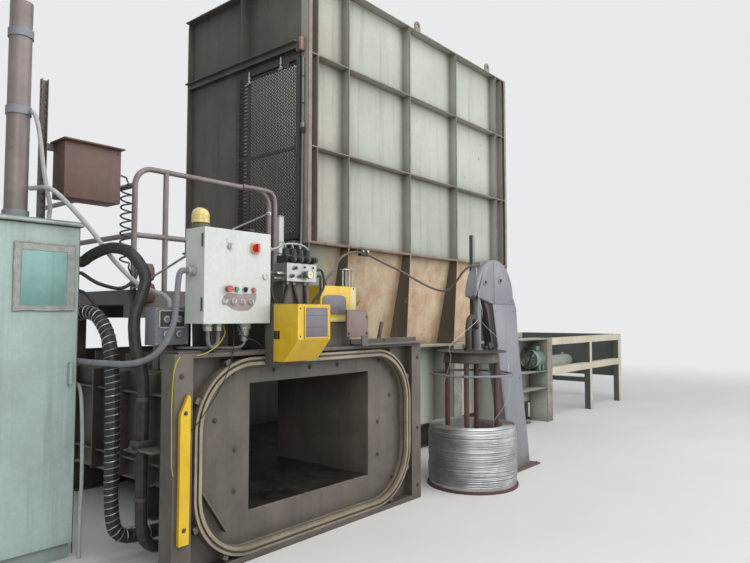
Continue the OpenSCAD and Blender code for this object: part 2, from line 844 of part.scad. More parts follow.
// Clamp lugs along the track's round corners, and the deflector bar at the lower left
module clamp_lug(a) {
  rotate([0, -a, 0]) translate([track_r - track_face + track_face, 0, 0])
    block([shoe_gap, tier_y0 + 12, -20], [34, face_y - face_t, 20]);
}

module track_clamps() {
  cx = track_x - track_r;
  cz = track_h / 2 - track_r;
  color(worn_steel) {
    for (a = [25, 65]) {
      translate([cx, 0, track_mid_z + cz]) clamp_lug(a);
      translate([-cx, 0, track_mid_z + cz]) clamp_lug(180 - a);
      translate([-cx, 0, track_mid_z - cz]) clamp_lug(180 + a);
      translate([cx, 0, track_mid_z - cz]) clamp_lug(-a);
    }
    translate([-922, 0, 362]) rotate([0, 56.3, 0])
      block([-175, face_y - face_t - 45, -5], [175, face_y - face_t, 5]);
  }
}

// Yellow strip that guards the wire on the left post
module edge_guard() {
  x = -post_in - tier_post_w / 2;
  color(bright_yellow) slab_y(tier_y0 - 26, tier_y0) polygon([
    [x - 35, 240], [x + 35, 240], [x + 35, 1110], [x + 20, 1130], [x - 35, 1010]
  ]);
}

// Tier head: twister body in front of the frame, valve column and wire feeder plate
module tier_head() {
  z_body = tier_h - 90;
  color(worn_steel) {
    block([cover_x0 + 1, cover_y1, z_body], [cover_x1 - 1, tier_y0, cover_z1 + 6]);
    block([mani_x0 + 20, tier_y0, tier_h], [mani_x0 + mani_w - 20, tier_y1 - 30, mani_z]);
    block([feed_x0, feed_y1, feed_z0], [feed_x0 + feed_w, feed_y1 + feed_plate_t, feed_z0 + feed_h]);
    block([feed_x0 + 40, tier_y0 + 50, tier_h], [feed_x0 + feed_w - 60, tier_y1, feed_z0 - 14]);
    block([feed_x0 + 40, tier_y0 + 50, feed_z0 - 14],
      [feed_x0 + feed_w - 60, feed_y1 + feed_plate_t, feed_z0]);
    rod_y(gear_x, gear_z, axle_r, cover_y1 - gear_t - 20, cover_y1);
    rod_y(gear_x, gear_z - mesh_dist, 12, cover_y1 - gear_t - 20, cover_y1);
    for (s = [-1, 1]) {
      rod_y(feed_mid_x + s * feed_pitch, feed_mid_z, 12, feed_y1 - 70, feed_y1);
    }
  }
  color(rail_grey) slab_y(tier_y0 - 74, tier_y0 - 60) polygon([
    [190, tier_h + 75], [372, tier_h + 75], [372, tier_h], [440, tier_h], [440, tier_h + 245],
    [405, tier_h + 285], [190, tier_h + 285]
  ]);
}

// Twister cover: a folded yellow hood, open at the back, hinged on its right edge
module hood_outline(inset) {
  polygon([
    [cover_y0 + inset, cover_z1 - inset], [cover_y1 + (inset > 0 ? 1 : 0), cover_z1 - inset],
    [cover_y1 + (inset > 0 ? 1 : 0), cover_z0 + inset], [cover_y0 + 132 + inset / 2, cover_z0 + inset],
    [cover_y0 + inset, cover_z0 + 147 + inset / 2]
  ]);
}

module head_cover() {
  gap = door_gap;
  color(bright_yellow) translate([0, -gap, 0]) difference() {
    slab_x(cover_x0, cover_x1) hood_outline(0);
    slab_x(cover_x0 + cover_t, cover_x1 - cover_t) hood_outline(cover_t);
    block([cover_x0 - 1, cover_y1 - 60, cover_z0 + 150], [cover_x0 + cover_t + 1, cover_y1 + 1, cover_z0 + 205]);
  }
  color(black_paint) {
    block([cover_x0 + 65, cover_y0 - gap - 3, cover_z0 + 160],
      [cover_x1 - 30, cover_y0 - gap, cover_z1 - 20]);
  }
}

// Feeder cover: a square hood over the feed wheels
module feed_cover() {
  y0 = feed_y1 - feed_d;
  x1 = feed_x0 + feed_w;
  z1 = feed_z0 + feed_h;
  color(bright_yellow) difference() {
    block([feed_x0, y0, feed_z0], [x1, feed_y1, z1]);
    block([feed_x0 + cover_t, y0 + cover_t, feed_z0 + cover_t], [x1 - cover_t, feed_y1 + 1, z1 - cover_t]);
    translate([feed_mid_x, tube_y, z1 - 10]) cylinder(r = tube_d / 2 + 0.5, h = 20);
    block([feed_mid_x - 20, tube_y - 20, feed_z0 - 1], [feed_mid_x + 20, tube_y + 20, feed_z0 + cover_t + 1]);
  }
  color(black_paint) slab_y(y0 - 3, y0) {
    translate([feed_x0 + 100, feed_z0 + 70]) square([210, 110]);
    intersection() {
      translate([feed_x0 + 205, feed_z0 + 155]) scale([1, 0.6]) circle(105);
      translate([feed_x0 + 100, feed_z0 + 155]) square([210, 100]);
    }
  }
}

// A spur gear outline with straight-sided teeth
module gear_outline(teeth, r, m, hole) {
  root = r - 1.25 * m;
  tip = r + 0.95 * m;
  step = 360 / teeth;
  difference() {
    union() {
      circle(root + 0.2, $fn = 96);
      for (k = [0:teeth - 1]) {
        rotate(k * step) polygon([
          [root - 1, -0.33 * root * sin(step)], [tip, -0.11 * tip * sin(step)],
          [tip, 0.11 * tip * sin(step)], [root - 1, 0.33 * root * sin(step)]
        ]);
      }
    }
    circle(hole);
  }
}

gear_y0 = cover_y1 - gear_t - 8;

module twist_gear() {
  color(bare_steel) translate([gear_x, 0, gear_z]) slab_y(gear_y0, gear_y0 + gear_t)
    rotate(-90) gear_outline(gear_teeth, pitch_r, gear_m, axle_r + axle_gap);
}

module twist_pinion() {
  color(bare_steel) translate([gear_x, 0, gear_z - mesh_dist]) slab_y(gear_y0, gear_y0 + gear_t)
    rotate(90 + 180 / pinion_teeth) gear_outline(pinion_teeth, pinion_r, gear_m, 12 + axle_gap);
}

// Feed wheels with a wire groove between them
feed_pitch = feed_r + wire_d / 2;
wheel_t = 40;
tube_y = feed_y1 - 40;

module feed_wheel(x) {
  translate([x, feed_y1 - 20, feed_mid_z]) rotate([90, 0, 0]) rotate_extrude() polygon([
    [12 + axle_gap, 0], [feed_r, 0], [feed_r, wheel_t / 2 - 3], [feed_r - 2, wheel_t / 2],
    [feed_r, wheel_t / 2 + 3], [feed_r, wheel_t], [12 + axle_gap, wheel_t]
  ]);
}

module drive_wheel() {
  color(bare_steel) feed_wheel(feed_mid_x - feed_pitch);
}

module pinch_wheel() {
  color(bare_steel) feed_wheel(feed_mid_x + feed_pitch);
}

// Valve manifold with its solenoid valves and gauge
module manifold_block() {
  color(light_grey) {
    block([mani_x0, mani_y0, mani_z], [mani_x0 + mani_w, mani_y0 + mani_d, mani_z + mani_h]);
    for (p = [[45, 38], [120, 38], [75, 95]]) {
      rod_y(mani_x0 + p[0], mani_z + p[1], 14, mani_y0 - 12, mani_y0);
    }
  }
}

valve_w = 62;

module solenoid_valves() {
  z0 = mani_z + mani_h;
  color(black_paint) for (k = [0:3]) {
    x = mani_x0 + 40 + k * (valve_w + 8);
    block([x - valve_w / 2, mani_y0 + 20, z0], [x + valve_w / 2, mani_y0 + mani_d - 20, z0 + 55]);
    rod_y(x, z0 + 28, 22, mani_y0 - 35, mani_y0 + 20);
    translate([x, mani_y0 + 60, z0 + 55]) cylinder(r = 24, h = 50);
  }
}

gauge_x = mani_x0 + 193;
gauge_z = mani_z + 53;

module pressure_gauge() {
  color(bare_steel) {
    rod_y(gauge_x, gauge_z, 8, mani_y0 - 18, mani_y0);
    translate([gauge_x, mani_y0 - 18, gauge_z]) rotate([90, 0, 0]) rotate_extrude() polygon([
      [0, 0], [30, 0], [32, 3], [32, 22], [29, 24], [28, 20], [0, 20]
    ]);
  }
}

// Control box: sheet steel case with a mounting plate, and its hinged door
module control_box() {
  y0 = box_y0 + door_t + door_gap;
  x = (box_x0 + box_x1) / 2;
  color(light_grey) {
    difference() {
      block([box_x0, y0, box_z], [box_x1, box_y1, box_top]);
      block([box_x0 + sheet_t, y0 - 1, box_z + sheet_t], [box_x1 - sheet_t, box_y1 - sheet_t, box_top - sheet_t]);
    }
    block([box_x0 + 40, box_y1 - 30, box_z + 40], [box_x1 - 40, box_y1 - sheet_t, box_top - 40]);
    for (z = [box_z + 150, box_z + 330]) {
      block([box_x0 + 70, box_y1 - 100, z], [box_x1 - 90, box_y1 - 30, z + 90]);
    }
  }
  color(bare_steel) {
    gland(box_x0 + 110, 26);
    gland(box_x0 + 190, 22);
    for (k = [0:2]) {
      translate([plug_x, gland_y, box_z - 40 * (k + 1)]) cylinder(r = 42 - 11 * k, h = 41);
    }
    rod_x(gland_y, elbow_z, 28, box_x0 - gland_h, box_x0);
  }
}

gland_h = 45;
gland_y = box_y0 + 110;
plug_x = box_x1 - 130;
elbow_z = box_z + 330;

module gland(x, r) {
  translate([x, gland_y, box_z - gland_h]) cylinder(r = r, h = gland_h);
}

module control_door() {
  color(light_grey) difference() {
    block([box_x0, door_y, box_z], [box_x1, door_y + door_t, box_top]);
    block([box_x0 + sheet_t, door_y + sheet_t, box_z + sheet_t],
      [box_x1 - sheet_t, door_y + door_t + 1, box_top - sheet_t]);
    for (k = [0:3]) rod_y(button_x + k * button_pitch, button_z, stem_r + axle_gap, door_y - 1, door_y + sheet_t + 1);
    rod_y(switch_x, switch_z, shaft_r + axle_gap, door_y - 1, door_y + sheet_t + 1);
  }
  color([0.85, 0.45, 0.15]) slab_y(door_y - plate_d, door_y) translate([switch_x, switch_z]) difference() {
    round_rect(66, 66, 6);
    circle(shaft_r + axle_gap);
  }
  color(bare_steel) {
    for (k = [0:3]) selector_knob(button_x - 20 + k * button_pitch, button_z - row_drop, 30 - k * 20);
    rod_y(box_x1 - 48, box_z + 312, 14, door_y - 8, door_y);
    selector_knob(box_x0 + 190, box_z + 490, 0);
    block([box_x0 + 165, door_y - 3, box_z + 515], [box_x0 + 215, door_y, box_z + 545]);
  }
}

// Bezel ring with a bar handle, turned by an angle
module selector_knob(x, z, a) {
  rod_y(x, z, 15, door_y - 8, door_y);
  translate([x, 0, z]) rotate([0, a, 0]) block([-4, door_y - 26, -14], [4, door_y - 7, 14]);
}

switch_x = box_x1 - 137;
switch_z = box_z + 497;
stem_r = 11;
shaft_r = 8;
plate_d = 12;

module main_switch() {
  y = door_y - plate_d;
  color([0.75, 0.1, 0.1]) {
    rod_y(switch_x, switch_z, shaft_r, y - 10, door_y + sheet_t + 12);
    rod_y(switch_x, switch_z, 14, door_y + sheet_t + door_gap, door_y + sheet_t + 6);
    rod_y(switch_x, switch_z, 27, y - 14, y - door_gap);
    block([switch_x - 8, y - 36, switch_z - 27], [switch_x + 8, y - 13, switch_z + 27]);
  }
}

// A push button: stem through the door, collar behind and head in front
module push_button(k, head_r, head_y, lift) {
  x = button_x + k * button_pitch;
  rod_y(x, button_z, stem_r, head_y, door_y + sheet_t + 14);
  rod_y(x, button_z, head_r, head_y - lift, head_y);
  rod_y(x, button_z, 14, door_y + sheet_t + 0.3, door_y + sheet_t + 6);
}

button_travel = 4;
stop_travel = 6;

module emergency_stop() {
  color([0.75, 0.1, 0.1]) push_button(0, 22, door_y - stop_travel - 14, 16);
}

module green_button() {
  color([0.1, 0.45, 0.25]) push_button(1, 14, door_y - button_travel - 4, 6);
}

module red_button() {
  color([0.75, 0.1, 0.1]) push_button(3, 14, door_y - button_travel - 4, 6);
}

module selector_switch() {
  x = button_x + 2 * button_pitch;
  color(black_paint) {
    rod_y(x, button_z, stem_r, door_y - 2, door_y + sheet_t + 14);
    rod_y(x, button_z, 15, door_y - 10, door_y - 0.3);
    translate([x, 0, button_z]) rotate([0, 20, 0])
      block([-4, door_y - 27, -14], [4, door_y - 9, 14]);
    rod_y(x, button_z, 14, door_y + sheet_t + 0.3, door_y + sheet_t + 6);
  }
}

// Warning beacon on the box's rear left corner
module beacon() {
  color([0.85, 0.7, 0.35]) translate([box_x0 + 64, box_y1 - 60, box_top]) {
    cylinder(r = 60, h = 28);
    translate([0, 0, 28]) cylinder(r = 46, h = 12);
    translate([0, 0, 40]) rotate_extrude() difference() {
      union() {
        square([56, 50]);
        translate([0, 50]) scale([1, 0.9]) circle(56);
      }
      translate([-60, -60]) square([60, 240]);
      translate([-1, -61]) square([80, 61]);
    }
  }
}

// Small operator box with four switches
station_x0 = -1240;
station_w = 240;
station_z = tier_h + 50;
station_h = 240;
station_y0 = tier_y0 + 240;
station_d = 120;
station_y1 = station_y0 + station_d;

module station_box() {
  color(tower_grey) {
    block([station_x0, station_y0, station_z], [station_x0 + station_w, station_y1, station_z + station_h]);
    for (i = [0, 1], k = [0, 1]) {
      rod_y(station_x0 + 75 + i * 90, station_z + 70 + k * 95, 22, station_y0 - 12, station_y0);
      rod_y(station_x0 + 75 + i * 90, station_z + 70 + k * 95, 12, station_y0 - 30, station_y0 - 12);
    }
  }
}

// Electrical cabinet with its drip hood, mounting plate and hinged door
module cabinet() {
  y0 = cab_y0 + door_t + door_gap;
  color(cabinet_teal) {
    difference() {
      block([cab_x0, y0, plinth_h], [cab_x1, cab_y1, cab_h - 30]);
      block([cab_x0 + cab_sheet, y0 - 1, plinth_h + cab_sheet],
        [cab_x1 - cab_sheet, cab_y1 - cab_sheet, cab_h - 30 - cab_sheet]);
    }
    block([cab_x0 + 10, cab_y0 + 40, 0], [cab_x1 - 10, cab_y1 - 10, plinth_h]);
    block([cab_x0 - 15, cab_y0 - 25, cab_h - 30], [cab_x1 + 15, cab_y1 + 5, cab_h]);
    block([cab_x0 + 80, cab_y1 - 40, plinth_h + 100], [cab_x1 - 80, cab_y1 - cab_sheet, cab_h - 200]);
    for (k = [0:2]) {
      z = plinth_h + 350 + k * 480;
      block([cab_x0 + 130, cab_y1 - 200, z], [cab_x1 - 130, cab_y1 - 40, z + 220]);
    }
  }
}

module cabinet_door() {
  z0 = plinth_h + 5;
  z1 = cab_h - 35;
  color(cabinet_teal) {
    difference() {
      block([cab_x0 + 2, cab_y0, z0], [cab_x1 - 2, cab_y0 + door_t, z1]);
      block([cab_x0 + 2 + cab_sheet, cab_y0 + cab_sheet, z0 + cab_sheet],
        [cab_x1 - 2 - cab_sheet, cab_y0 + door_t + 1, z1 - cab_sheet]);
    }
    block([cab_x1 - 415, cab_y0 - 6, cab_h - 600], [cab_x1 - 30, cab_y0, cab_h - 160]);
    block([cab_x1 - 60, cab_y0 - 30, 1150], [cab_x1 - 40, cab_y0, 1290]);
  }
}

// Steel conduit and perforated strut above the cabinet, with the brown junction box
module cable_rack() {
  strut_x = -1600;
  strut_y = cab_y0 + 150;
  z1 = cab_h + 980;
  color(rail_grey) {
    translate([-1758, strut_y, cab_h]) cylinder(r = 70, h = 1450);
    translate([strut_x, strut_y, cab_h]) linear_extrude(z1 - cab_h) difference() {
      square([42, 42], center = true);
      translate([0, -6]) square([36, 36], center = true);
    }
    block([strut_x + 21, strut_y - 21, cab_h + 500], [strut_x + 453, strut_y + 21, cab_h + 541]);
    block([strut_x + 63, strut_y - 200, cab_h + 160], [strut_x + 453, strut_y - 21, cab_h + 541]);
  }
}

// Deck on joists over the chamber, with legs down to the roof plate
module operator_platform() {
  low = deck_z - deck_t - joist_h;
  color(worn_steel) {
    block([deck_x0, deck_y0, deck_z - deck_t], [deck_x1, deck_y1, deck_z]);
    for (y = [deck_y0, (deck_y0 + deck_y1) / 2, deck_y1 - 60]) {
      block([deck_x0, y, low], [deck_x1, y + 60, deck_z - deck_t]);
    }
    for (x = [-out_w + 20, out_w - 120], y = [deck_y0 + 200, deck_y1 - 200]) {
      block([x, y, roof_top], [x + 80, y + 80, deck_z - deck_t]);
    }
    block([deck_x0, deck_y0, deck_z], [deck_x0 + 8, deck_y1, deck_z + 100]);
    block([deck_x0, deck_y0, deck_z], [rail_x1, deck_y0 + 8, deck_z + 100]);
  }
}

// A quarter bend of the rail's tube
module rail_corner(x, z, a) {
  translate([x, rail_y, z]) rotate([90, 0, 0]) rotate([0, 0, a])
    rotate_extrude(angle = 90) translate([rail_bend, 0]) circle(rail_d / 2);
}

module rail_loop(x0, x1, z) {
  r = rail_d / 2;
  rod_x(rail_y, z, r, x0 + rail_bend, x1 - rail_bend);
  rail_corner(x1 - rail_bend, z - rail_bend, 0);
  rail_corner(x0 + rail_bend, z - rail_bend, 90);
  for (x = [x0, x1]) translate([x, rail_y, deck_z]) cylinder(r = r, h = z - rail_bend - deck_z);
}

module guard_rail() {
  r = rail_d / 2;
  color(rail_grey) {
    rail_loop(rail_x0, rail_x1, rail_z);
    rod_x(rail_y, mid_rail_z, r, rail_x0, rail_x1);
    translate([rail_x0 + 260, rail_y, deck_z]) cylinder(r = r, h = rail_h);
    rod_y(rail_x0, mid_rail_z, r, rail_y, deck_y1 - 60);
    rod_y(rail_x0, rail_z - rail_bend, r, rail_y, deck_y1 - 60);
    translate([rail_x0, deck_y1 - 60, deck_z]) cylinder(r = r, h = rail_h - rail_bend + r);
  }
}

// Hydraulic cylinders: barrel with gland and closed end
module barrel(l) {
  rotate_extrude() polygon([
    [rod_d / 2 + slide_gap, 0], [barrel_d / 2 + 15, 0], [barrel_d / 2 + 15, 60],
    [barrel_d / 2, 60], [barrel_d / 2, l], [0, l], [0, l - 40], [bore_d / 2, l - 40],
    [bore_d / 2, gland_l], [rod_d / 2 + slide_gap, gland_l]
  ]);
}

// Piston rod with its piston; the eye end meets the ram's face plate
module piston_rod(l) {
  cylinder(r = rod_d / 2, h = l - gland_l);
  translate([0, 0, l - gland_l]) cylinder(r = bore_d / 2 - slide_gap, h = gland_l);
}

module main_cylinder() {
  color(hopper_green) {
    translate([barrel_x, 0, ram_z]) rotate([0, 90, 0]) barrel(main_barrel_l);
  }
}

module ejector_cylinder() {
  color(hopper_green) {
    translate([0, barrel_y, ram_z]) rotate([-90, 0, 0]) barrel(eject_barrel_l);
  }
}

module main_rod() {
  l = barrel_setback - ram_face_t + main_barrel_l - 45;
  color(bare_steel) translate([ram_x + ram_face_t, 0, ram_z]) rotate([0, 90, 0]) piston_rod(l);
}

module ejector_rod() {
  l = barrel_setback - ram_face_t + eject_barrel_l - 45;
  color(bare_steel) translate([0, half_l + ram_face_t, ram_z]) rotate([-90, 0, 0]) piston_rod(l);
}

// A ram: welded box, open at the back, with a heavy face plate
module ram_box(w, l) {
  h = bale_h - ram_gap - shoe_gap;
  z0 = floor_z + shoe_gap;
  difference() {
    translate([-w / 2, 0, z0]) cube([w, l, h]);
    translate([-w / 2 + ram_t, ram_face_t, z0 + ram_t]) cube([w - 2 * ram_t, l, h - 2 * ram_t]);
  }
  for (s = [-1, 1]) {
    translate([s * w / 4 - 8, ram_face_t, z0 + ram_t]) cube([16, l - ram_face_t - 20, h - 2 * ram_t]);
  }
}

module main_ram() {
  color(worn_steel) translate([ram_x, 0, 0]) rotate([0, 0, -90]) ram_box(bale_l - 2 * ram_gap, main_ram_l);
}

module ejector_ram() {
  color(worn_steel) translate([0, half_l, 0]) ram_box(chamber_w - 2 * ram_gap, eject_ram_l);
}

// Wrapped hose bundle from the junction box, and the thick hose beside the left tier post
bundle_d = 90;
hose_d = 76;
hose_x = -1250;
hose_y = -1600;
web_x = -half_w + 80 - 6 - 0.3;
bundle_line = [
  [cab_x1 + 0.3, -900, cab_h - 620], [cab_x1 + 55, -900, cab_h - 620],
  [cab_x1 + 86, -980, cab_h - 610], [cab_x1 + 100, -1120, cab_h - 660], [-1297, -1270, 1380],
  [-1295, -1310, 900], [-1290, -1310, 350], [-1220, -1310, 170], [-1000, -1310, 137],
  [-700, -1310, 137], [web_x, -1310, 137]
];
hose_line = [
  [cab_x1 + 0.3, -950, cab_h - 260], [cab_x1 + 48, -950, cab_h - 260],
  [cab_x1 + 80, -1040, cab_h - 210], [cab_x1 + 115, -1230, cab_h - 175],
  [-1250, -1420, cab_h - 225], [-1200, -1510, cab_h - 370],
  [-1235, -1535, cab_h - 500], [-1288, -1545, cab_h - 640], [-1290, -1565, 1420],
  [-1262, -1588, 1290],
  [hose_x, hose_y, 1150], [hose_x, hose_y, 900], [hose_x, hose_y, 500], [-1235, hose_y, 250],
  [-1160, hose_y, 150], [-1000, hose_y, 137], [-700, hose_y, 137], [web_x, hose_y, 137]
];

module hydraulic_hoses() {
  color(black_paint) {
    swept_tube(smooth_line(bundle_line, 4), bundle_d, 12);
    swept_tube(smooth_line(hose_line, 3), hose_d, 12);
  }
}

// Grey conduits: box to cabinet, two loops under the box, and the door switch's line
conduit_d = 36;
loop_d = 26;
lead_d = 18;
switch_lead_x = hop_x0 - 15;
switch_lead_y = hop_y0 - 36;
lead_z = tier_h + 28;
box_drop = elbow_z - tier_h;
box_line = [
  [box_x0 - gland_h - 0.3, gland_y, elbow_z], [-1175, gland_y, elbow_z], [-1198, gland_y, 1855],
  [-1204, -1893, tier_h + 0.75 * box_drop], [-1215, -1888, tier_h + 0.45 * box_drop],
  [-1245, -1874, tier_h + 0.22 * box_drop], [-1286, -1820, tier_h + 15],
  [-1330, -1730, tier_h - 40], [-1372, -1560, tier_h - 65], [-1375, -1250, tier_h - 70],
  [cab_x1 + 25, -1000, tier_h - 70], [cab_x1 + 20, -900, tier_h - 70],
  [cab_x1 + 0.3, -900, tier_h - 70]
];
loop_line = [
  [box_x0 + 110, gland_y, box_z - gland_h - 0.3], [box_x0 + 110, gland_y, box_z - 97],
  [box_x0 + 122, gland_y, box_z - 137], [box_x0 + 150, gland_y, box_z - 153],
  [box_x0 + 178, gland_y, box_z - 137], [box_x0 + 190, gland_y, box_z - 97],
  [box_x0 + 190, gland_y, box_z - gland_h - 0.3]
];
plug_line = [
  [plug_x, gland_y, box_z - 120.3], [plug_x, gland_y, box_z - 132], [plug_x - 40, gland_y, lead_z],
  [-850, gland_y + 40, lead_z - 2], [-960, -1800, lead_z], [-1040, -1700, lead_z],
  [-1060, -1650, lead_z + 6], [-1060, -1650, station_z - 0.3]
];
switch_line = [
  [switch_lead_x, switch_lead_y, 3340], [switch_lead_x - 2, switch_lead_y, 2900],
  [650, -1020, 2330], [600, -1040, 2190], [400, -1110, 2150], [100, -1300, 2140],
  [-200, -1600, 2110], [-420, -1800, 2062], [-500, gland_y, 2060], [box_x1 + 0.3, gland_y, 2060]
];

module conduits() {
  color(tower_grey) {
    swept_tube(smooth_line(box_line, 3), conduit_d, 10);
    swept_tube(smooth_line(loop_line, 3), loop_d, 8);
    swept_tube(smooth_line(plug_line, 3), lead_d, 8);
    swept_tube(smooth_line(switch_line, 4), lead_d, 8);
    block([switch_lead_x - 14, switch_lead_y - 20, 3339], [hop_x0, switch_lead_y + 20, 3430]);
    translate([switch_lead_x, switch_lead_y, 3429]) cylinder(r = 12, h = 640);
    block([switch_lead_x - 5, switch_lead_y - 8, 4000], [hop_x0, switch_lead_y + 8, 4020]);
  }
}

// Wire stand: base, four posts, guide hoop and top disc
module wire_stand() {
  color(post_red) translate([stand_x, stand_y, 0]) {
    cylinder(r = coil_d / 2 + 10, h = stand_base_t);
    for (a = [20, 110, 200, 290]) rotate(a) {
      translate([stand_post_r, 0, stand_base_t]) cylinder(r = 25, h = disc_z - 90 - stand_base_t);
      rod_x(0, 1050, 7, stand_post_r, hoop_r);
    }
    translate([0, 0, 1050]) rotate_extrude() translate([hoop_r, 0]) circle(10);
    translate([0, 0, disc_z - 100]) cylinder(r1 = stand_post_r + 40, r2 = 150, h = 100);
    translate([0, 0, disc_z - 1]) cylinder(d = disc_d, h = disc_t + 1);
  }
}

hoop_r = 385;

module wire_coil() {
  color(bare_steel) translate([stand_x, stand_y, stand_base_t]) rotate_extrude() {
    translate([(coil_d + coil_bore) / 4, coil_h / 2]) round_rect((coil_d - coil_bore) / 2, coil_h, 40);
  }
}

// Guide tower: two skins with a round head, a spine between them and sheave axles
module tower_outline() {
  intersection() {
    translate([tower_x, tower_z]) circle(tower_r, $fn = 96);
    translate([tower_x - tower_r, tower_z]) square([2 * tower_r, tower_r]);
  }
  polygon([
    [tower_x - tower_r, tower_z], [tower_x + tower_r, tower_z],
    [tower_x + tower_r + 70, tower_z - 120], [tower_x + tower_r + 90, tower_z - 400],
    [tower_x + tower_r + 350, 0], [tower_x + 320, 0], [tower_x - 68, tower_z - 70]
  ]);
}

module tower_hollow() {
  intersection() {
    translate([tower_x, tower_z]) circle(tower_r - tower_skin, $fn = 96);
    translate([tower_x - tower_r, tower_z + 10]) square([2 * tower_r, tower_r]);
  }
}

module guide_tower() {
  y0 = tower_y - tower_t / 2;
  y1 = tower_y + tower_t / 2;
  color(tower_grey) {
    difference() {
      slab_y(y0, y1) tower_outline();
      slab_y(y0 + tower_skin, y1 - tower_skin) tower_hollow();
    }
    for (p = [sheave_a, sheave_b]) rod_y(p[0], p[1], axle_r, y0 - 12, y1);
    block([nozzle_x, tower_y - 30, nozzle_z - 30], [nozzle_x + 75, tower_y + 30, nozzle_z + 30]);
  }
  color(dark_green) {
    block([tower_x - 230, y1 - 5, disc_z + disc_t + 0.1], [tower_x - 195, y1 + 35, tower_z + 615]);
  }
  color(post_red) block([tower_x + 280, y0 - 60, 0], [tower_x + tower_r + 470, y1 + 60, 16]);
}

nozzle_x = 2040;
nozzle_z = tower_z + 310;

// Two grooved sheaves in the tower's head
module guide_sheave(p) {
  translate([p[0], tower_y + sheave_t / 2, p[1]]) rotate([90, 0, 0]) rotate_extrude() polygon([
    [axle_r + axle_gap, 0], [sheave_r, 0], [sheave_r - 14, sheave_t / 2],
    [sheave_r, sheave_t], [axle_r + axle_gap, sheave_t]
  ]);
}

module front_sheave() {
  color(bare_steel) guide_sheave(sheave_a);
}

module rear_sheave() {
  color(bare_steel) guide_sheave(sheave_b);
}

// Wire tube from the feeder over the bracket under the hopper to the tower's head
tube_line = [
  [feed_mid_x, tube_y, feed_z0 + feed_h - 15], [feed_mid_x, tube_y, feed_z0 + feed_h + 15],
  [feed_mid_x, tube_y, feed_z0 + feed_h + 50],
  [430, -1650, 1990], [770, -1400, 2120], [1000, -1300, 2200], [1430, -1103, 2248],
  [1554, -1296, 2135], [1635, -1423, 2063], [1790, -1668, 1900], [1875, -1810, 1859],
  [1905, -1900, 1930], [1918, -1985, 2040], [1950, -2055, 2098],
  [nozzle_x - 20, tower_y, nozzle_z], [nozzle_x - 10, tower_y, nozzle_z],
  [nozzle_x - 0.3, tower_y, nozzle_z]
];

module wire_tube() {
  color(worn_steel) swept_tube(smooth_line(tube_line, 4), tube_d, 8);
}

base_skid();
floor_plate();
chamber_end_wall();
chamber_roof();
chute_wall();
front_wall();
rear_wall();
cylinder_bed();
ejector_bed();
shear_blade();
hopper_front_wall();
hopper_side_wall();
hopper_rear_wall();
hopper_end_wall();
transition_front();
door_rail();
mesh_door();
tier_frame();
face_plate();
wire_track();
track_clamps();
edge_guard();
tier_head();
head_cover();
feed_cover();
twist_gear();
twist_pinion();
drive_wheel();
pinch_wheel();
manifold_block();
solenoid_valves();
pressure_gauge();
control_box();
control_door();
main_switch();
emergency_stop();
green_button();
red_button();
selector_switch();
beacon();
station_box();
cabinet();
cabinet_door();
cable_rack();
operator_platform();
guard_rail();
main_cylinder();
main_ram();
main_rod();
ejector_cylinder();
ejector_ram();
ejector_rod();
hydraulic_hoses();
conduits();
wire_stand();
wire_coil();
guide_tower();
front_sheave();
rear_sheave();
wire_tube();
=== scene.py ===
import json
import math
import random

import bmesh
import bpy
from mathutils import Matrix, Vector


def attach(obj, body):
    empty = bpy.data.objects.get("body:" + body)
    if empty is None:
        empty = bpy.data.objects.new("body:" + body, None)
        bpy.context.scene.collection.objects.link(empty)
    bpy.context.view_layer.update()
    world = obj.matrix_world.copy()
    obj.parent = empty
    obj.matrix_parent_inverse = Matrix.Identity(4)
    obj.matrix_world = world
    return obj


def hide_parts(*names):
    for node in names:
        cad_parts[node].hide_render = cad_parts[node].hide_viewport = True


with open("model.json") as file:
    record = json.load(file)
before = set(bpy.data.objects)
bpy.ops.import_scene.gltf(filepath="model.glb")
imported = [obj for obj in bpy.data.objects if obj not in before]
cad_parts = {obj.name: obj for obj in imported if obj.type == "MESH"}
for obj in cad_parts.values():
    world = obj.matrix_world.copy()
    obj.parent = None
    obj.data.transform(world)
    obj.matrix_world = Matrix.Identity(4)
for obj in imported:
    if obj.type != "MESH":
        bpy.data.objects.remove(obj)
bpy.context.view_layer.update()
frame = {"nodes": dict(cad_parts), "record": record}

shake = random.Random(7)
nodes = frame["nodes"]


# Camera and light
camera_data = bpy.data.cameras.new("photo_camera")
camera_data.sensor_width = 36
camera_data.lens = 30.3
camera_data.clip_end = 200
camera = bpy.data.objects.new("photo_camera", camera_data)
camera.location = (-3.39, -5.31, 1.6)
camera.rotation_euler = (math.radians(93.2), 0, math.radians(-50))
bpy.context.collection.objects.link(camera)
bpy.context.scene.camera = camera
bpy.context.scene.view_settings.view_transform = "Standard"


def linear(code):
    """An sRGB hex colour as the linear colour that sockets take."""
    parts = [int(code[i:i + 2], 16) / 255 for i in (0, 2, 4)]
    return [c / 12.92 if c <= 0.04045 else ((c + 0.055) / 1.055) ** 2.4 for c in parts] + [1]


def add(tree, kind, links=None, **settings):
    """Adds a shader node with its settings; links holds values, nodes or sockets by input."""
    node = tree.nodes.new("ShaderNode" + kind)
    for key, value in settings.items():
        setattr(node, key, value)
    for key, value in (links or {}).items():
        if isinstance(value, bpy.types.Node):
            value = value.outputs[0]
        if isinstance(value, bpy.types.NodeSocket):
            tree.links.new(value, node.inputs[key])
        else:
            node.inputs[key].default_value = value
    return node


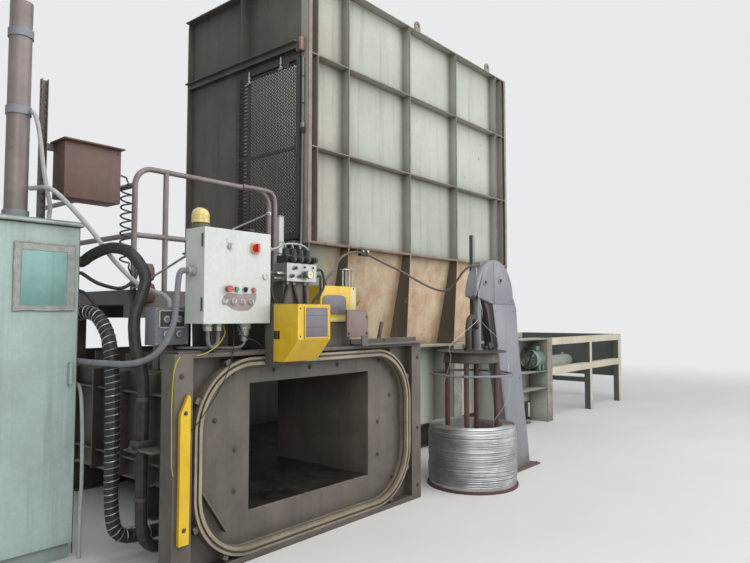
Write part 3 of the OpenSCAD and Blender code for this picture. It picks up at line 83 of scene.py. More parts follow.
def area_light(name, place, target, size, power):
    """A square soft box at place that faces target; size in metres, power in watts."""
    data = bpy.data.lights.new(name, "AREA")
    data.size = size
    data.energy = power
    lamp = bpy.data.objects.new(name, data)
    lamp.location = place
    lamp.rotation_euler = (Vector(target) - Vector(place)).to_track_quat("-Z", "Y").to_euler()
    bpy.context.collection.objects.link(lamp)


area_light("roof_light", (1, -7, 11), (1.5, -1, 1.5), 9, 900)
area_light("yard_light", (9, -11, 5), (2, -1.5, 1.5), 6, 560)
area_light("left_light", (-6, -9, 5), (-1, -1.5, 1.5), 4, 300)
area_light("back_light", (5, 9, 7), (3, 1, 2), 6, 280)

world = bpy.data.worlds.new("studio")
bpy.context.scene.world = world
world.use_nodes = True
tree = world.node_tree
tree.nodes.clear()
backdrop = linear("E9EAEC")
path = add(tree, "LightPath")
seen = add(tree, "Math", {0: path.outputs["Is Camera Ray"], 1: path.outputs["Is Transmission Ray"]},
           operation="MAXIMUM")
soft = add(tree, "Background", {"Color": linear("D9DEE6"), "Strength": 0.62})
pale = add(tree, "Background", {"Color": backdrop, "Strength": 1.0})
both = add(tree, "MixShader", {0: seen, 1: soft, 2: pale})
tree.links.new(both.outputs[0], add(tree, "OutputWorld").inputs["Surface"])


# Materials
def new_material(name):
    """An empty material with its output and one Principled shader."""
    material = bpy.data.materials.new(name)
    material.use_nodes = True
    tree = material.node_tree
    tree.nodes.clear()
    shader = add(tree, "BsdfPrincipled")
    tree.links.new(shader.outputs[0], add(tree, "OutputMaterial").inputs["Surface"])
    return material, tree, shader


def edge_mask(tree, radius):
    """1 on convex and concave edges within about radius, 0 on flat faces."""
    soft_normal = add(tree, "Bevel", {"Radius": radius}, samples=4).outputs["Normal"]
    true_normal = add(tree, "NewGeometry").outputs["Normal"]
    dot = add(tree, "VectorMath", {0: soft_normal, 1: true_normal}, operation="DOT_PRODUCT")
    return soft_normal, add(tree, "MapRange", {"Value": dot.outputs["Value"], "From Min": 0.985,
                                               "From Max": 0.80})


def worn_paint(name, paint, faded, dirt, edge, rust="6A4A36", rusting=0.4, streaks=0.3,
               corner_shade=0.4, edges=0.6, radius=0.006, rough=0.5, patch=3, bare=0.0, sides=None,
               front=None, start=None):
    """Enamel on plate: it fades in patches, streaks where water runs, and rusts at its edges.

    edge is the colour of chips, radius their reach in metres, patch the clouds to a metre;
    sides is a darker colour on faces square to X, painted shade on the sides the light misses;
    front is (y, colour) of the rust on edges that stand out past y; start is (colour, x0, x1)
    of a paint that fades out from x0 to x1."""
    material, tree, shader = new_material(name)
    place = add(tree, "TexCoord").outputs["Object"]
    axes = add(tree, "SeparateXYZ", {0: place})
    # Clouds where sun and rubbing have dulled the paint
    cloud = add(tree, "TexNoise", {"Vector": place, "Scale": patch, "Detail": 8,
                                   "Roughness": 0.62})
    tone = add(tree, "MapRange", {"Value": cloud, "From Min": 0.36, "From Max": 0.64})
    colour = add(tree, "MixRGB", {"Fac": tone, "Color1": linear(paint), "Color2": linear(faded)})
    if start:
        code, x0, x1 = start
        along = add(tree, "MapRange", {"Value": axes.outputs["X"], "From Min": x0, "From Max": x1,
                                       "To Min": 1.5, "To Max": -0.3})
        along = add(tree, "Math", {0: along, 1: cloud}, operation="SUBTRACT", use_clamp=True)
        colour = add(tree, "MixRGB", {"Fac": along, "Color1": colour, "Color2": linear(code)})
    # Painted shade: faces square to X take the darker sides colour
    if sides:
        facing = add(tree, "SeparateXYZ", {0: add(tree, "NewGeometry").outputs["True Normal"]})
        square = add(tree, "Math", {0: facing.outputs["X"]}, operation="ABSOLUTE")
        square = add(tree, "Math", {0: square, 1: 0.7}, operation="GREATER_THAN")
        colour = add(tree, "MixRGB", {"Fac": square, "Color1": colour, "Color2": linear(sides)})
    # Fine mottling, 10 to 30 mm, that keeps a big panel from looking plastic
    fine = add(tree, "TexNoise", {"Vector": place, "Scale": 34, "Detail": 6, "Roughness": 0.7})
    mottle = add(tree, "MapRange", {"Value": fine, "From Min": 0.2, "From Max": 0.8,
                                    "To Min": 0.62, "To Max": 1.0})
    colour = add(tree, "MixRGB", {"Fac": 0.45, "Color1": colour, "Color2": mottle},
                 blend_type="MULTIPLY")
    # Runs of dirty water: narrow across, long down
    down = add(tree, "Mapping", {"Vector": place, "Scale": (11, 11, 0.55)})
    run = add(tree, "TexNoise", {"Vector": down, "Scale": 1, "Detail": 6, "Roughness": 0.65})
    run = add(tree, "MapRange", {"Value": run, "From Min": 0.52, "From Max": 0.78,
                                 "To Max": streaks})
    colour = add(tree, "MixRGB", {"Fac": run, "Color1": colour, "Color2": linear(dirt)})
    # Rust blisters through in spots, more of them where the paint is faded
    spot = add(tree, "TexNoise", {"Vector": place, "Scale": 7.5, "Detail": 12, "Roughness": 0.72})
    limit = 0.72 - 0.22 * rusting
    rusty = add(tree, "MapRange", {"Value": spot, "From Min": limit, "From Max": limit + 0.05})
    thin = add(tree, "MapRange", {"Value": tone, "From Min": 0.15, "From Max": 0.9,
                                  "To Min": 0.25})
    rusty = add(tree, "Math", {0: rusty, 1: thin}, operation="MULTIPLY")
    # The rust's own grain, 8 mm: coarser than the real one, so that it shows
    grain = add(tree, "TexNoise", {"Vector": place, "Scale": 120, "Detail": 4})
    grain = add(tree, "MapRange", {"Value": grain, "From Min": 0.3, "From Max": 0.7})
    grain = add(tree, "MixRGB", {"Fac": grain, "Color1": linear(rust), "Color2": linear(dirt)})
    # Chips along the edges
    soft_normal, worn = edge_mask(tree, radius)
    chips = add(tree, "TexNoise", {"Vector": place, "Scale": 26, "Detail": 8, "Roughness": 0.75})
    chips = add(tree, "MapRange", {"Value": chips, "From Min": 0.62 - 0.3 * edges,
                                   "From Max": 0.66 - 0.2 * edges})
    worn = add(tree, "Math", {0: worn, 1: chips}, operation="MULTIPLY")
    colour = add(tree, "MixRGB", {"Fac": worn, "Color1": colour, "Color2": linear(edge)})
    colour = add(tree, "MixRGB", {"Fac": rusty, "Color1": colour, "Color2": grain})
    if front:
        proud = add(tree, "MapRange", {"Value": axes.outputs["Y"], "From Min": front[0] + 0.01,
                                       "From Max": front[0]})
        patchy = add(tree, "MapRange", {"Value": spot, "From Min": 0.3, "From Max": 0.6,
                                        "To Min": 0.35, "To Max": 0.95})
        proud = add(tree, "Math", {0: proud, 1: patchy}, operation="MULTIPLY")
        colour = add(tree, "MixRGB", {"Fac": proud, "Color1": colour,
                                      "Color2": linear(front[1])})
    # Painted shade: corners and gaps that ambient occlusion finds are darkened towards the dirt
    # colour
    corner = add(tree, "AmbientOcclusion", {"Distance": 0.22}, samples=6).outputs["AO"]
    corner = add(tree, "MapRange", {"Value": corner, "From Min": 0.92, "From Max": 0.35,
                                    "To Max": corner_shade})
    colour = add(tree, "MixRGB", {"Fac": corner, "Color1": colour, "Color2": linear(dirt)})
    tree.links.new(colour.outputs[0], shader.inputs["Base Color"])
    rust_all = add(tree, "Math", {0: rusty, 1: worn}, operation="MAXIMUM")
    shine = add(tree, "MapRange", {"Value": fine, "From Min": 0.3, "From Max": 0.7,
                                   "To Min": rough - 0.07, "To Max": rough + 0.12})
    shine = add(tree, "Math", {0: rust_all, 1: 0.3, 2: shine}, operation="MULTIPLY_ADD")
    tree.links.new(shine.outputs[0], shader.inputs["Roughness"])
    if bare:
        metal = add(tree, "Math", {0: worn, 1: bare}, operation="MULTIPLY")
        tree.links.new(metal.outputs[0], shader.inputs["Metallic"])
    # Orange peel of the paint, 6 mm: coarser than the real one, so that it shows
    skin = add(tree, "TexNoise", {"Vector": place, "Scale": 160, "Detail": 3})
    height = add(tree, "Math", {0: skin, 1: 0.3, 2: rust_all}, operation="MULTIPLY_ADD")
    bump = add(tree, "Bump", {"Strength": 0.35, "Distance": 0.0015, "Height": height,
                              "Normal": soft_normal})
    tree.links.new(bump.outputs[0], shader.inputs["Normal"])
    return material


def bare_metal(name, light, dark, rough, stain, grain=(1, 1, 60)):
    """Uncoated metal: machining grain one way, oil and dirt in blotches."""
    material, tree, shader = new_material(name)
    place = add(tree, "TexCoord").outputs["Object"]
    blotch = add(tree, "TexNoise", {"Vector": place, "Scale": 5, "Detail": 8, "Roughness": 0.65})
    blotch = add(tree, "MapRange", {"Value": blotch, "From Min": 0.35, "From Max": 0.7})
    colour = add(tree, "MixRGB", {"Fac": blotch, "Color1": linear(light), "Color2": linear(dark)})
    oil = add(tree, "TexNoise", {"Vector": place, "Scale": 13, "Detail": 9, "Roughness": 0.7})
    oil = add(tree, "MapRange", {"Value": oil, "From Min": 0.52, "From Max": 0.72,
                                 "To Max": stain})
    colour = add(tree, "MixRGB", {"Fac": oil, "Color1": colour, "Color2": linear("2E2823")})
    tree.links.new(colour.outputs[0], shader.inputs["Base Color"])
    metal = add(tree, "MapRange", {"Value": oil, "From Max": 1, "To Min": 1, "To Max": 0.3})
    tree.links.new(metal.outputs[0], shader.inputs["Metallic"])
    # Machining lines 1 mm apart with a grain of 60: coarser than the real ones, so that they show
    one_way = add(tree, "Mapping", {"Vector": place, "Scale": grain})
    lines = add(tree, "TexNoise", {"Vector": one_way, "Scale": 18, "Detail": 3})
    shine = add(tree, "MapRange", {"Value": lines, "From Min": 0.3, "From Max": 0.7,
                                   "To Min": rough - 0.06, "To Max": rough + 0.14})
    tree.links.new(shine.outputs[0], shader.inputs["Roughness"])
    bump = add(tree, "Bump", {"Strength": 0.2, "Distance": 0.0006, "Height": lines,
                              "Normal": edge_mask(tree, 0.002)[0]})
    tree.links.new(bump.outputs[0], shader.inputs["Normal"])
    return material


def moulded(name, colour_code, dusty, rough=0.4, dust=0.35, coat=0.0):
    """Moulded plastic or rubber: even colour, fine texture, dust in patches."""
    material, tree, shader = new_material(name)
    place = add(tree, "TexCoord").outputs["Object"]
    cloud = add(tree, "TexNoise", {"Vector": place, "Scale": 22, "Detail": 6})
    cloud = add(tree, "MapRange", {"Value": cloud, "From Min": 0.3, "From Max": 0.75,
                                   "To Max": dust})
    colour = add(tree, "MixRGB", {"Fac": cloud, "Color1": linear(colour_code),
                                  "Color2": linear(dusty)})
    tree.links.new(colour.outputs[0], shader.inputs["Base Color"])
    # Grit of the mould, 2.4 mm: coarser than the real one, so that it shows
    grit = add(tree, "TexNoise", {"Vector": place, "Scale": 420, "Detail": 3})
    shine = add(tree, "MapRange", {"Value": grit, "From Min": 0.3, "From Max": 0.7,
                                   "To Min": rough - 0.05, "To Max": rough + 0.15})
    tree.links.new(shine.outputs[0], shader.inputs["Roughness"])
    shader.inputs["Coat Weight"].default_value = coat
    bump = add(tree, "Bump", {"Strength": 0.15, "Distance": 0.0004, "Height": grit})
    tree.links.new(bump.outputs[0], shader.inputs["Normal"])
    return material


finish = {
    # Chalky grey-green enamel on the hopper's outside: faded, brown along every rib's edge
    "hopper_paint": worn_paint(
        "hopper_enamel", "A6ACA0", "BABCB0", "554E44", "5A473A", rusting=0.36, streaks=0.4,
        corner_shade=0.7, edges=1.0, radius=0.009, rough=0.55, patch=0.9, front=(-1.07, "77685B"),
        start=("A39C8C", 0.6, 2.4)),
    # The short wall: dark paint holding soot and dust, made darker still as painted shade of the
    # shadow it stands in
    "dark_green_paint": worn_paint(
        "sooty_shaded_enamel", "56534B", "676358", "2C2925", "6B5F52", rusting=0.35, streaks=0.5,
        corner_shade=0.5, edges=0.7, rough=0.62, patch=1.6),
    # Tan enamel of the neck: rust shows through in clouds and long runs; the gussets' faces square
    # to X are dark grey-green as painted shade
    "tan_paint": worn_paint(
        "rusted_tan_enamel", "D8C5AA", "C3A07E", "8A6A4C", "5B4536", rust="9E7048", rusting=0.5,
        streaks=0.6, edges=0.9, rough=0.66, patch=4.2, sides="484D47", start=("7E9389", 0.75, 1.9)),
    # Gussets and the frame of the tier: dark paint rubbed down to greasy steel
    "worn_steel": worn_paint(
        "greasy_dark_enamel", "554F48", "6E665C", "2B2622", "9A9084", rust="6A4B38", streaks=0.4,
        corner_shade=0.55, edges=0.8, patch=2.2, bare=0.6),
    # Floor and ram faces: plate polished by what slides over it, brown in the low spots
    "wear_plate": bare_metal(
        "bale_polished_plate", "8A8680", "5A524A", rough=0.36, stain=0.6, grain=(2, 30, 30)),
    # Cream enamel of the wire track, chipped along its edges
    "track_paint": worn_paint(
        "chipped_cream_enamel", "A89C86", "8B7F6C", "3A332B", "4E433A", rust="6E4C38", rusting=0.5,
        corner_shade=0.75, edges=0.85, patch=3.2),
    # Bright safety yellow, still glossy, dirty where hands and wire touch it
    "yellow_paint": worn_paint(
        "safety_yellow_enamel", "E0BC2C", "D2A81E", "6B5A2A", "8C7424", rust="6B5326",
        rusting=0.18, streaks=0.22, corner_shade=0.45, edges=0.45, radius=0.004, rough=0.36),
    # Light grey powder coat of the control box, an even fine texture
    "light_grey_paint": worn_paint(
        "powder_coat_grey", "CDD0CB", "C4C7C2", "6A665F", "9A9A94", rust="7A6A5A", rusting=0.0,
        streaks=0.12, edges=0.35, radius=0.003, rough=0.42, patch=2.0),
    # Cabinet: worn grey-green enamel with rubbed teal patches
    "teal_paint": worn_paint(
        "worn_teal_enamel", "B4C7C1", "A2B2A8", "4E5650", "6A5A4A", rust="7A5C44", rusting=0.35,
        streaks=0.4, corner_shade=0.5, edges=0.7, patch=1.8),
    # Guide tower: mid grey enamel, lightly scratched
    "tower_paint": worn_paint(
        "scratched_grey_enamel", "7D8086", "8A8C90", "45423F", "A9A8A4", rust="5E4A3E",
        rusting=0.2, streaks=0.35, edges=0.5, rough=0.48, patch=1.6, bare=0.5),
    # Wire stand: red-brown primer, greasy
    "red_brown_paint": worn_paint(
        "red_brown_primer", "6E4A42", "583C37", "2C2320", "8A7F78", rust="5A3524", rusting=0.45,
        streaks=0.4, corner_shade=0.6, rough=0.6, patch=3.5, bare=0.5),
    # Tube rails: grey paint rubbed to a pinkish brown by hands
    "rail_paint": worn_paint(
        "hand_rubbed_grey", "8F8480", "7A6E69", "453C38", "6A5A52", rust="6E4A3C", edges=0.4,
        rough=0.42, patch=4.0),
    # Door rail: dark enamel under soot, bright where the rollers run
    "black_paint": worn_paint(
        "sooty_rail_enamel", "4E4D48", "6B685F", "1C1A18", "6E6A64", rust="4A382C", rusting=0.25,
        edges=0.5, rough=0.45, bare=0.5),
    # Blade, gears and wheels: machined steel, oil in blotches
    "bare_steel": bare_metal("machined_steel", "B9BABD", "8B8B8E", rough=0.3, stain=0.35),
    # Ground and plated piston rods: nearly a mirror, with an oil film
    "hard_chrome": bare_metal(
        "hard_chrome_rod", "D2D3D6", "C2C3C8", rough=0.12, stain=0.1, grain=(60, 60, 60)),
    # Milled valve block: matt grey-white, dull from handling
    "aluminium": bare_metal("milled_aluminium", "A9AAAB", "929394", rough=0.42, stain=0.18),
    # Galvanised wire: bright zinc with grey spangle
    "galvanised_wire": bare_metal(
        "galvanised_wire", "D2D2D0", "A6A7A8", rough=0.42, stain=0.15, grain=(30, 30, 30)),
    # Rubber hose cover: matt black under grey dust
    "black_rubber": moulded("hose_rubber", "1C1C1D", "4A4640", rough=0.55, dust=0.5),
    # Extruded PVC conduit: satin grey, brownish dust
    "grey_conduit": moulded("conduit_pvc", "7E8084", "5E5A55", rough=0.5, dust=0.5),
    # Polycarbonate caps: glossy, the colour a little tired
    "red_plastic": moulded("red_button_cap", "B3231F", "7A3530", rough=0.3, dust=0.3, coat=0.3),
    "green_plastic": moulded(
        "green_button_cap", "1F6B45", "3A5A48", rough=0.3, dust=0.3, coat=0.3),
    # Glass-filled nylon: satin black with a fine grit
    "black_plastic": moulded("black_nylon", "1D1E20", "4B4844", rough=0.42, dust=0.4),
    # Beacon lens: amber polycarbonate gone milky in the sun
    "amber_lens": moulded("sunbleached_amber", "D9C27A", "B79E62", rough=0.3, dust=0.4, coat=0.4),
}
# The cylinder's bed was painted beige, and only its edges have rusted; its faces square to X are
# dark grey-green as painted shade
bed_enamel = worn_paint(
    "beige_bed_enamel", "CFC9B4", "BDB49E", "5C5347", "6E5446", rust="7A5340", streaks=0.15,
    corner_shade=0.5, edges=0.9, rough=0.58, patch=2.4, sides="4C514B")
for entry in frame["record"]["subparts"]:
    slots = nodes[entry["node"]].material_slots
    if not slots:
        nodes[entry["node"]].data.materials.append(finish[entry["material_slot"]])
    for slot in slots:
        slot.material = finish[entry["material_slot"]]
for slot in nodes["cylinder_bed"].material_slots:
    slot.material = bed_enamel

# Pale studio floor
floor_mesh = bmesh.new()
bmesh.ops.create_grid(floor_mesh, x_segments=1, y_segments=1, size=45)
floor_data = bpy.data.meshes.new("floor")
floor_mesh.to_mesh(floor_data)
floor_mesh.free()
floor = bpy.data.objects.new("floor", floor_data)
bpy.context.collection.objects.link(floor)
concrete, tree, shader = new_material("pale_concrete")
place = add(tree, "TexCoord").outputs["Object"]
cloud = add(tree, "TexNoise", {"Vector": place, "Scale": 0.8, "Detail": 8})
cloud = add(tree, "MixRGB", {"Fac": cloud, "Color1": linear("D2D1CE"), "Color2": linear("C7C5C1")})
tree.links.new(cloud.outputs[0], shader.inputs["Base Color"])
shader.inputs["Roughness"].default_value = 0.85
# Far from the machine the floor fades into the backdrop, for what looks at it
far = add(tree, "VectorMath", {0: place}, operation="LENGTH")
far = add(tree, "MapRange", {"Value": far.outputs["Value"], "From Min": 7, "From Max": 20},
          interpolation_type="SMOOTHSTEP")
path = add(tree, "LightPath")
seen = add(tree, "Math", {0: path.outputs["Is Camera Ray"], 1: path.outputs["Is Glossy Ray"]},
           operation="MAXIMUM")
fade = add(tree, "Math", {0: far, 1: seen}, operation="MULTIPLY")
glow = add(tree, "Emission", {"Color": backdrop, "Strength": 1.0})
both = add(tree, "MixShader", {0: fade, 1: shader, 2: glow})
tree.links.new(both.outputs[0], tree.nodes["Material Output"].inputs["Surface"])
floor_data.materials.append(concrete)


# Tools for the pieces
def smooth_line(points, steps):
    """The same smooth line as the source's: straight ends, a curve through every point."""
    p = [Vector(v) for v in points]
    line = [p[0]]
    for i in range(1, len(p) - 2):
        a, b, c, d = p[i - 1:i + 3]
        for k in range(steps):
            t = k / steps
            line.append((2 * b + (c - a) * t + (2 * a - 5 * b + 4 * c - d) * t * t
                         + (3 * b - a - 3 * c + d) * t ** 3) / 2)
    return line + [p[-2], p[-1]]


def block(bm, low, high, bevel=0.0, turn=None):
    """A box between two corners, its edges rounded, turned about its middle."""
    low, high = Vector(low), Vector(high)
    made = bmesh.ops.create_cube(bm, size=1)["verts"]
    bmesh.ops.scale(bm, vec=high - low, verts=made)
    if bevel:
        edges = list(dict.fromkeys(e for v in made for e in v.link_edges))
        made = bmesh.ops.bevel(bm, geom=edges, offset=bevel, segments=2, profile=0.5,
                               affect="EDGES", material=-1)["verts"]
    if turn:
        bmesh.ops.rotate(bm, matrix=turn, verts=made)
    bmesh.ops.translate(bm, vec=(low + high) / 2, verts=made)


def aim(start, along):
    """The matrix that puts an upright shape at start, its top towards along."""
    return Matrix.Translation(start) @ Vector(along).to_track_quat("Z", "Y").to_matrix().to_4x4()


def rod(bm, start, end, radius, sides=16, tip=None):
    """A round or many-sided rod between two points; tip is its radius at the end."""
    start, end = Vector(start), Vector(end)
    bmesh.ops.create_cone(bm, cap_ends=True, segments=sides, radius1=radius,
                          radius2=radius if tip is None else tip, depth=(end - start).length,
                          matrix=aim((start + end) / 2, end - start))


def lathe(bm, profile, base, along, steps=32):
    """A turned shape: profile is radius and height along the axis, from base."""
    turn = aim(base, along)
    line = [bm.verts.new(turn @ Vector((r, 0, h))) for r, h in profile]
    edges = [bm.edges.new(pair) for pair in zip(line, line[1:])]
    before = set(bm.verts) - set(line)
    bmesh.ops.spin(bm, geom=line + edges, cent=Vector(base), axis=Vector(along).normalized(),
                   angle=2 * math.pi, steps=steps, use_merge=True, use_duplicate=False)
    made = [v for v in bm.verts if v not in before]
    bmesh.ops.remove_doubles(bm, verts=made, dist=1e-6)


def plate(bm, outline, y0, y1, bevel=0.0):
    """A flat outline in X and Z, made solid from y0 back to y1."""
    face = bm.faces.new([bm.verts.new((x, y0, z)) for x, z in outline])
    made = bmesh.ops.extrude_face_region(bm, geom=[face])["geom"]
    verts = [g for g in made if isinstance(g, bmesh.types.BMVert)]
    bmesh.ops.translate(bm, vec=(0, y1 - y0, 0), verts=verts)
    if bevel:
        bmesh.ops.bevel(bm, geom=list(face.edges), offset=bevel, segments=2, profile=0.5,
                        affect="EDGES", material=-1)


def tube(bm, line, radius, sides=8, closed=False):
    """A round tube along a line of points."""
    curve = bpy.data.curves.new("line", "CURVE")
    curve.dimensions = "3D"
    curve.bevel_depth = radius
    curve.bevel_resolution = max(sides // 2 - 2, 0)
    curve.use_fill_caps = not closed
    spline = curve.splines.new("POLY")
    spline.points.add(len(line) - 1)
    for point, v in zip(spline.points, line):
        point.co = (*v, 1)
    spline.use_cyclic_u = closed
    carrier = bpy.data.objects.new("line", curve)
    mesh = bpy.data.meshes.new_from_object(carrier)
    bm.from_mesh(mesh)
    bpy.data.objects.remove(carrier)
    bpy.data.curves.remove(curve)
    bpy.data.meshes.remove(mesh)


def hose(bm, points, radius, sides=8, steps=6):
    """A round tube along a smooth line through the points."""
    tube(bm, smooth_line(points, steps), radius, sides)


def around(count, first=0.0, sweep=2 * math.pi):
    """Cosine and sine of evenly spaced angles from first, in radians."""
    return [(math.cos(first + sweep * k / count), math.sin(first + sweep * k / count))
            for k in range(count)]


def ring_line(centre, radius, steps, tilt=(0, 0)):
    """Points of a level circle, slightly tilted."""
    return [Vector(centre) + radius * Vector((c, s, c * tilt[0] + s * tilt[1]))
            for c, s in around(steps)]


def wrap_line(line, radius, pitch, per_turn=10):
    """A helix round a line of points."""
    lengths = [0]
    for a, b in zip(line, line[1:]):
        lengths.append(lengths[-1] + (b - a).length)
    count = int(lengths[-1] / pitch * per_turn)
    side = Vector((0.36, 0.48, 0.8))
    out, i = [], 0
    for k in range(count):
        s = lengths[-1] * k / count
        while lengths[i + 1] < s:
            i += 1
        t = (line[i + 1] - line[i]).normalized()
        side = (side - t * side.dot(t)).normalized()
        spot = line[i].lerp(line[i + 1], (s - lengths[i]) / max(lengths[i + 1] - lengths[i], 1e-9))
        turn = 2 * math.pi * k / per_turn
        out.append(spot + (side * math.cos(turn) + t.cross(side) * math.sin(turn)) * radius)
    return out


def bolt(bm, at, along, size=0.012):
    """A hexagon head on a washer; size is the head's radius."""
    at, along = Vector(at), Vector(along).normalized()
    rod(bm, at - along * 0.001, at + along * size * 0.22, size * 1.35, 14)
    rod(bm, at, at + along * size * 0.95, size, 6, size * 0.93)


def piece(name, bm, made_of, body="frame", stands_for=(), sharp=38):
    """Makes the mesh a piece of the body: faces at less than sharp degrees shade as one.

    made_of is a record's slot in finish, or a finish of extra with the slot it belongs to;
    stands_for lists the CAD nodes that the piece takes the place of."""
    bmesh.ops.recalc_face_normals(bm, faces=bm.faces)
    limit = math.radians(sharp)
    for face in bm.faces:
        face.smooth = True
    for edge in bm.edges:
        edge.smooth = len(edge.link_faces) == 2 and edge.calc_face_angle(0) < limit
    mesh = bpy.data.meshes.new(name)
    bm.to_mesh(mesh)
    bm.free()
    slot, material = (made_of, finish[made_of]) if made_of in finish else extra[made_of]
    mesh.materials.append(material)
    part = bpy.data.objects.new(name, mesh)
    bpy.context.collection.objects.link(part)
    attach(part, body)
    if stands_for:
        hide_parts(*stands_for)


def flat_ring(bm, outer, inner, y0, y1):
    """A plate with a hole, from its two outlines in X and Z; y0 is its front."""
    edges = []
    for outline in (outer, inner):
        line = [bm.verts.new((x, y0, z)) for x, z in outline]
        edges += [bm.edges.new(pair) for pair in zip(line, line[1:] + line[:1])]
    front = bmesh.ops.bridge_loops(bm, edges=edges)["faces"]
    made = bmesh.ops.extrude_face_region(bm, geom=front)["geom"]
    verts = [g for g in made if isinstance(g, bmesh.types.BMVert)]
    bmesh.ops.translate(bm, vec=(0, y1 - y0, 0), verts=verts)


def nut(bm, at, along, size, long):
    """A hexagon nut or fitting with its round shoulder; size is its radius."""
    at, along = Vector(at), Vector(along).normalized()
    rod(bm, at, at + along * long, size, 6)
    rod(bm, at + along * long, at + along * long * 1.25, size * 0.8, 14, size * 0.7)


def clip(bm, at, along, radius, wide=0.02):
    """A pipe clip: a band round a line."""
    at, along = Vector(at), Vector(along).normalized()
    rod(bm, at - along * wide / 2, at + along * wide / 2, radius, 16)


# Finishes that only the pieces have, each after the record's slot it belongs to
extra = {
    # The cover's bare name field: dull grey-violet film on sheet
    "grey_panel": ("yellow_paint", worn_paint(
        "dull_grey_film", "77737A", "6C686E", "3E3A3C", "A9A49C", rusting=0.0, streaks=0.2,
        radius=0.003, rough=0.45, patch=4)),
    # Paint rubbed through round the lower row of switches
    "rubbed_patch": ("light_grey_paint", worn_paint(
        "rubbed_primer", "8E807E", "9C918E", "5A4E4A", "C4C7C2", rusting=0.1, streaks=0.2,
        corner_shade=0.3, edges=0.8, radius=0.004, patch=9)),
    # Laminate behind the main switch: satin orange, brown at the edges
    "orange_plate": ("red_plastic", moulded(
        "orange_switch_plate", "D98A2B", "8E6A3C", rough=0.35, dust=0.3, coat=0.2)),
    # Moulded base of the beacon: matt olive grey
    "dark_base": ("black_plastic", moulded(
        "olive_beacon_base", "4E4C38", "6B675A", rough=0.5, dust=0.4)),
    # Dial card gone cream behind its glass
    "dial_white": ("bare_steel", moulded(
        "aged_dial", "D8D2A8", "A89F78", rough=0.35, dust=0.3, coat=0.3)),
    # Brown enamel on folded sheet, rusty along its seams
    "brown_box": ("rail_paint", worn_paint(
        "brown_enamel", "6E5247", "5E463D", "2E2622", "8E7A6C", streaks=0.4, corner_shade=0.5)),
    # Yellow enamel weathered to pale chalk
    "chalk_yellow": ("yellow_paint", worn_paint(
        "chalked_yellow_enamel", "DDD2A0", "CFC28A", "7A6A40", "8C7C4C", rust="8A7040",
        streaks=0.4, edges=0.7, rough=0.55, patch=7)),
    # Flange whose enamel is gone: pinkish primer and rust
    "rusty_flange": ("hopper_paint", worn_paint(
        "rust_bitten_flange", "A08678", "8A6B5E", "4A3830", "5A4034", rust="6E4434", rusting=0.8,
        corner_shade=0.3, edges=0.8, rough=0.65)),
    # Square tube in dark green enamel, chipped to grey
    "bar_green": ("tower_paint", worn_paint(
        "dark_green_bar", "3C4740", "4A534B", "23241F", "7C7468", patch=4)),
    # Cast iron in grey-green enamel, greasy between the fins
    "motor_green": ("hopper_paint", worn_paint(
        "motor_green_enamel", "6E8A7E", "7E988C", "2E332F", "8A8A80", rusting=0.3, corner_shade=0.5,
        edges=0.5, patch=5)),
    # Cured sealant: matt grey, dusty
    "sealant": ("grey_conduit", moulded(
        "weathered_sealant", "A3A79F", "77786F", rough=0.7, dust=0.6)),
    # Zinc-plated fittings: a dull, slightly yellow silver
    "zinc": ("bare_steel", bare_metal(
        "zinc_plate", "C6C4BC", "9A968C", rough=0.32, stain=0.3, grain=(40, 40, 40))),
    # Mesh, bolts and latches: steel black with soot and grease
    "hatch_dark": ("worn_steel", worn_paint(
        "soot_black_steel", "3D3835", "4A4441", "1E1B19", "7A6E62", rust="5A3E30", rusting=0.5,
        edges=0.7, rough=0.55, patch=2, bare=0.4)),
    # Primer that never got its top coat: dull pinkish brown
    "pink_primer": ("worn_steel", worn_paint(
        "pink_primer", "84726E", "72625E", "4A3E3A", "5E4A44", rust="7A4C38", rusting=0.3,
        edges=0.7, rough=0.55)),
    # Red lead primer, dirty and stained by rust
    "red_lead": ("rail_paint", worn_paint(
        "red_lead_primer", "7E5A50", "6A4A42", "33271F", "4E3A32", rusting=0.5, corner_shade=0.5,
        rough=0.6)),
    # PVC of the earth lead: yellow-green, satin
    "signal_yellow_wire": ("grey_conduit", moulded(
        "yellow_green_wire", "B9B02F", "7A7A3A", rough=0.45)),
    # PVC of the thin leads: satin black
    "black_wire": ("black_rubber", moulded("black_pvc_wire", "18181A", "3A3835", rough=0.45)),
    # PVC hose: light grey, dusty
    "light_hose": ("grey_conduit", moulded(
        "light_grey_pvc", "A9AAA8", "7E7A74", rough=0.5, dust=0.5)),
    # Teal enamel on the patch's plate, flaked at its rim
    "teal_plate": ("teal_paint", worn_paint(
        "teal_patch_enamel", "78A69F", "90B4AD", "3E4A46", "B4BDB6", rusting=0.3, streaks=0.4,
        edges=0.8)),
}


# Directions, and faces and centres of the solids that several pieces share, in metres
up = Vector((0, 0, 1))
forward = (0, -1, 0)                 # out of the tier, to the machine's front
stand = Vector((1.96, -2.05, 0))     # foot of the wire stand's axis
disc_top = 1.2705                    # top of the stand's disc
coil_top = 0.564                     # highest turn on the coil's side
cover_left = -0.553                  # left edge of the twister cover's front
feeder_face = -1.9109                # front of the feeder cover
door_face = -2.010                   # front of the control door
box_y, box_top = -1.900, 2.160       # middle and top of the control box
coil_xs = [-0.374 + 0.07 * k for k in range(4)]  # middles of the four valve coils
beam_face, post_face = -1.870, -1.950            # fronts of the tier's plate and posts
deck_top, rail_y = 1.7005, -0.89     # platform and the middle of its hand rail
cabinet_side = -1.3995               # right side of the cabinet
drip_z0, drip_z1 = 2.2085, 2.2185    # lip of the cabinet's hood
tower_front = -2.140                 # front of the guide tower


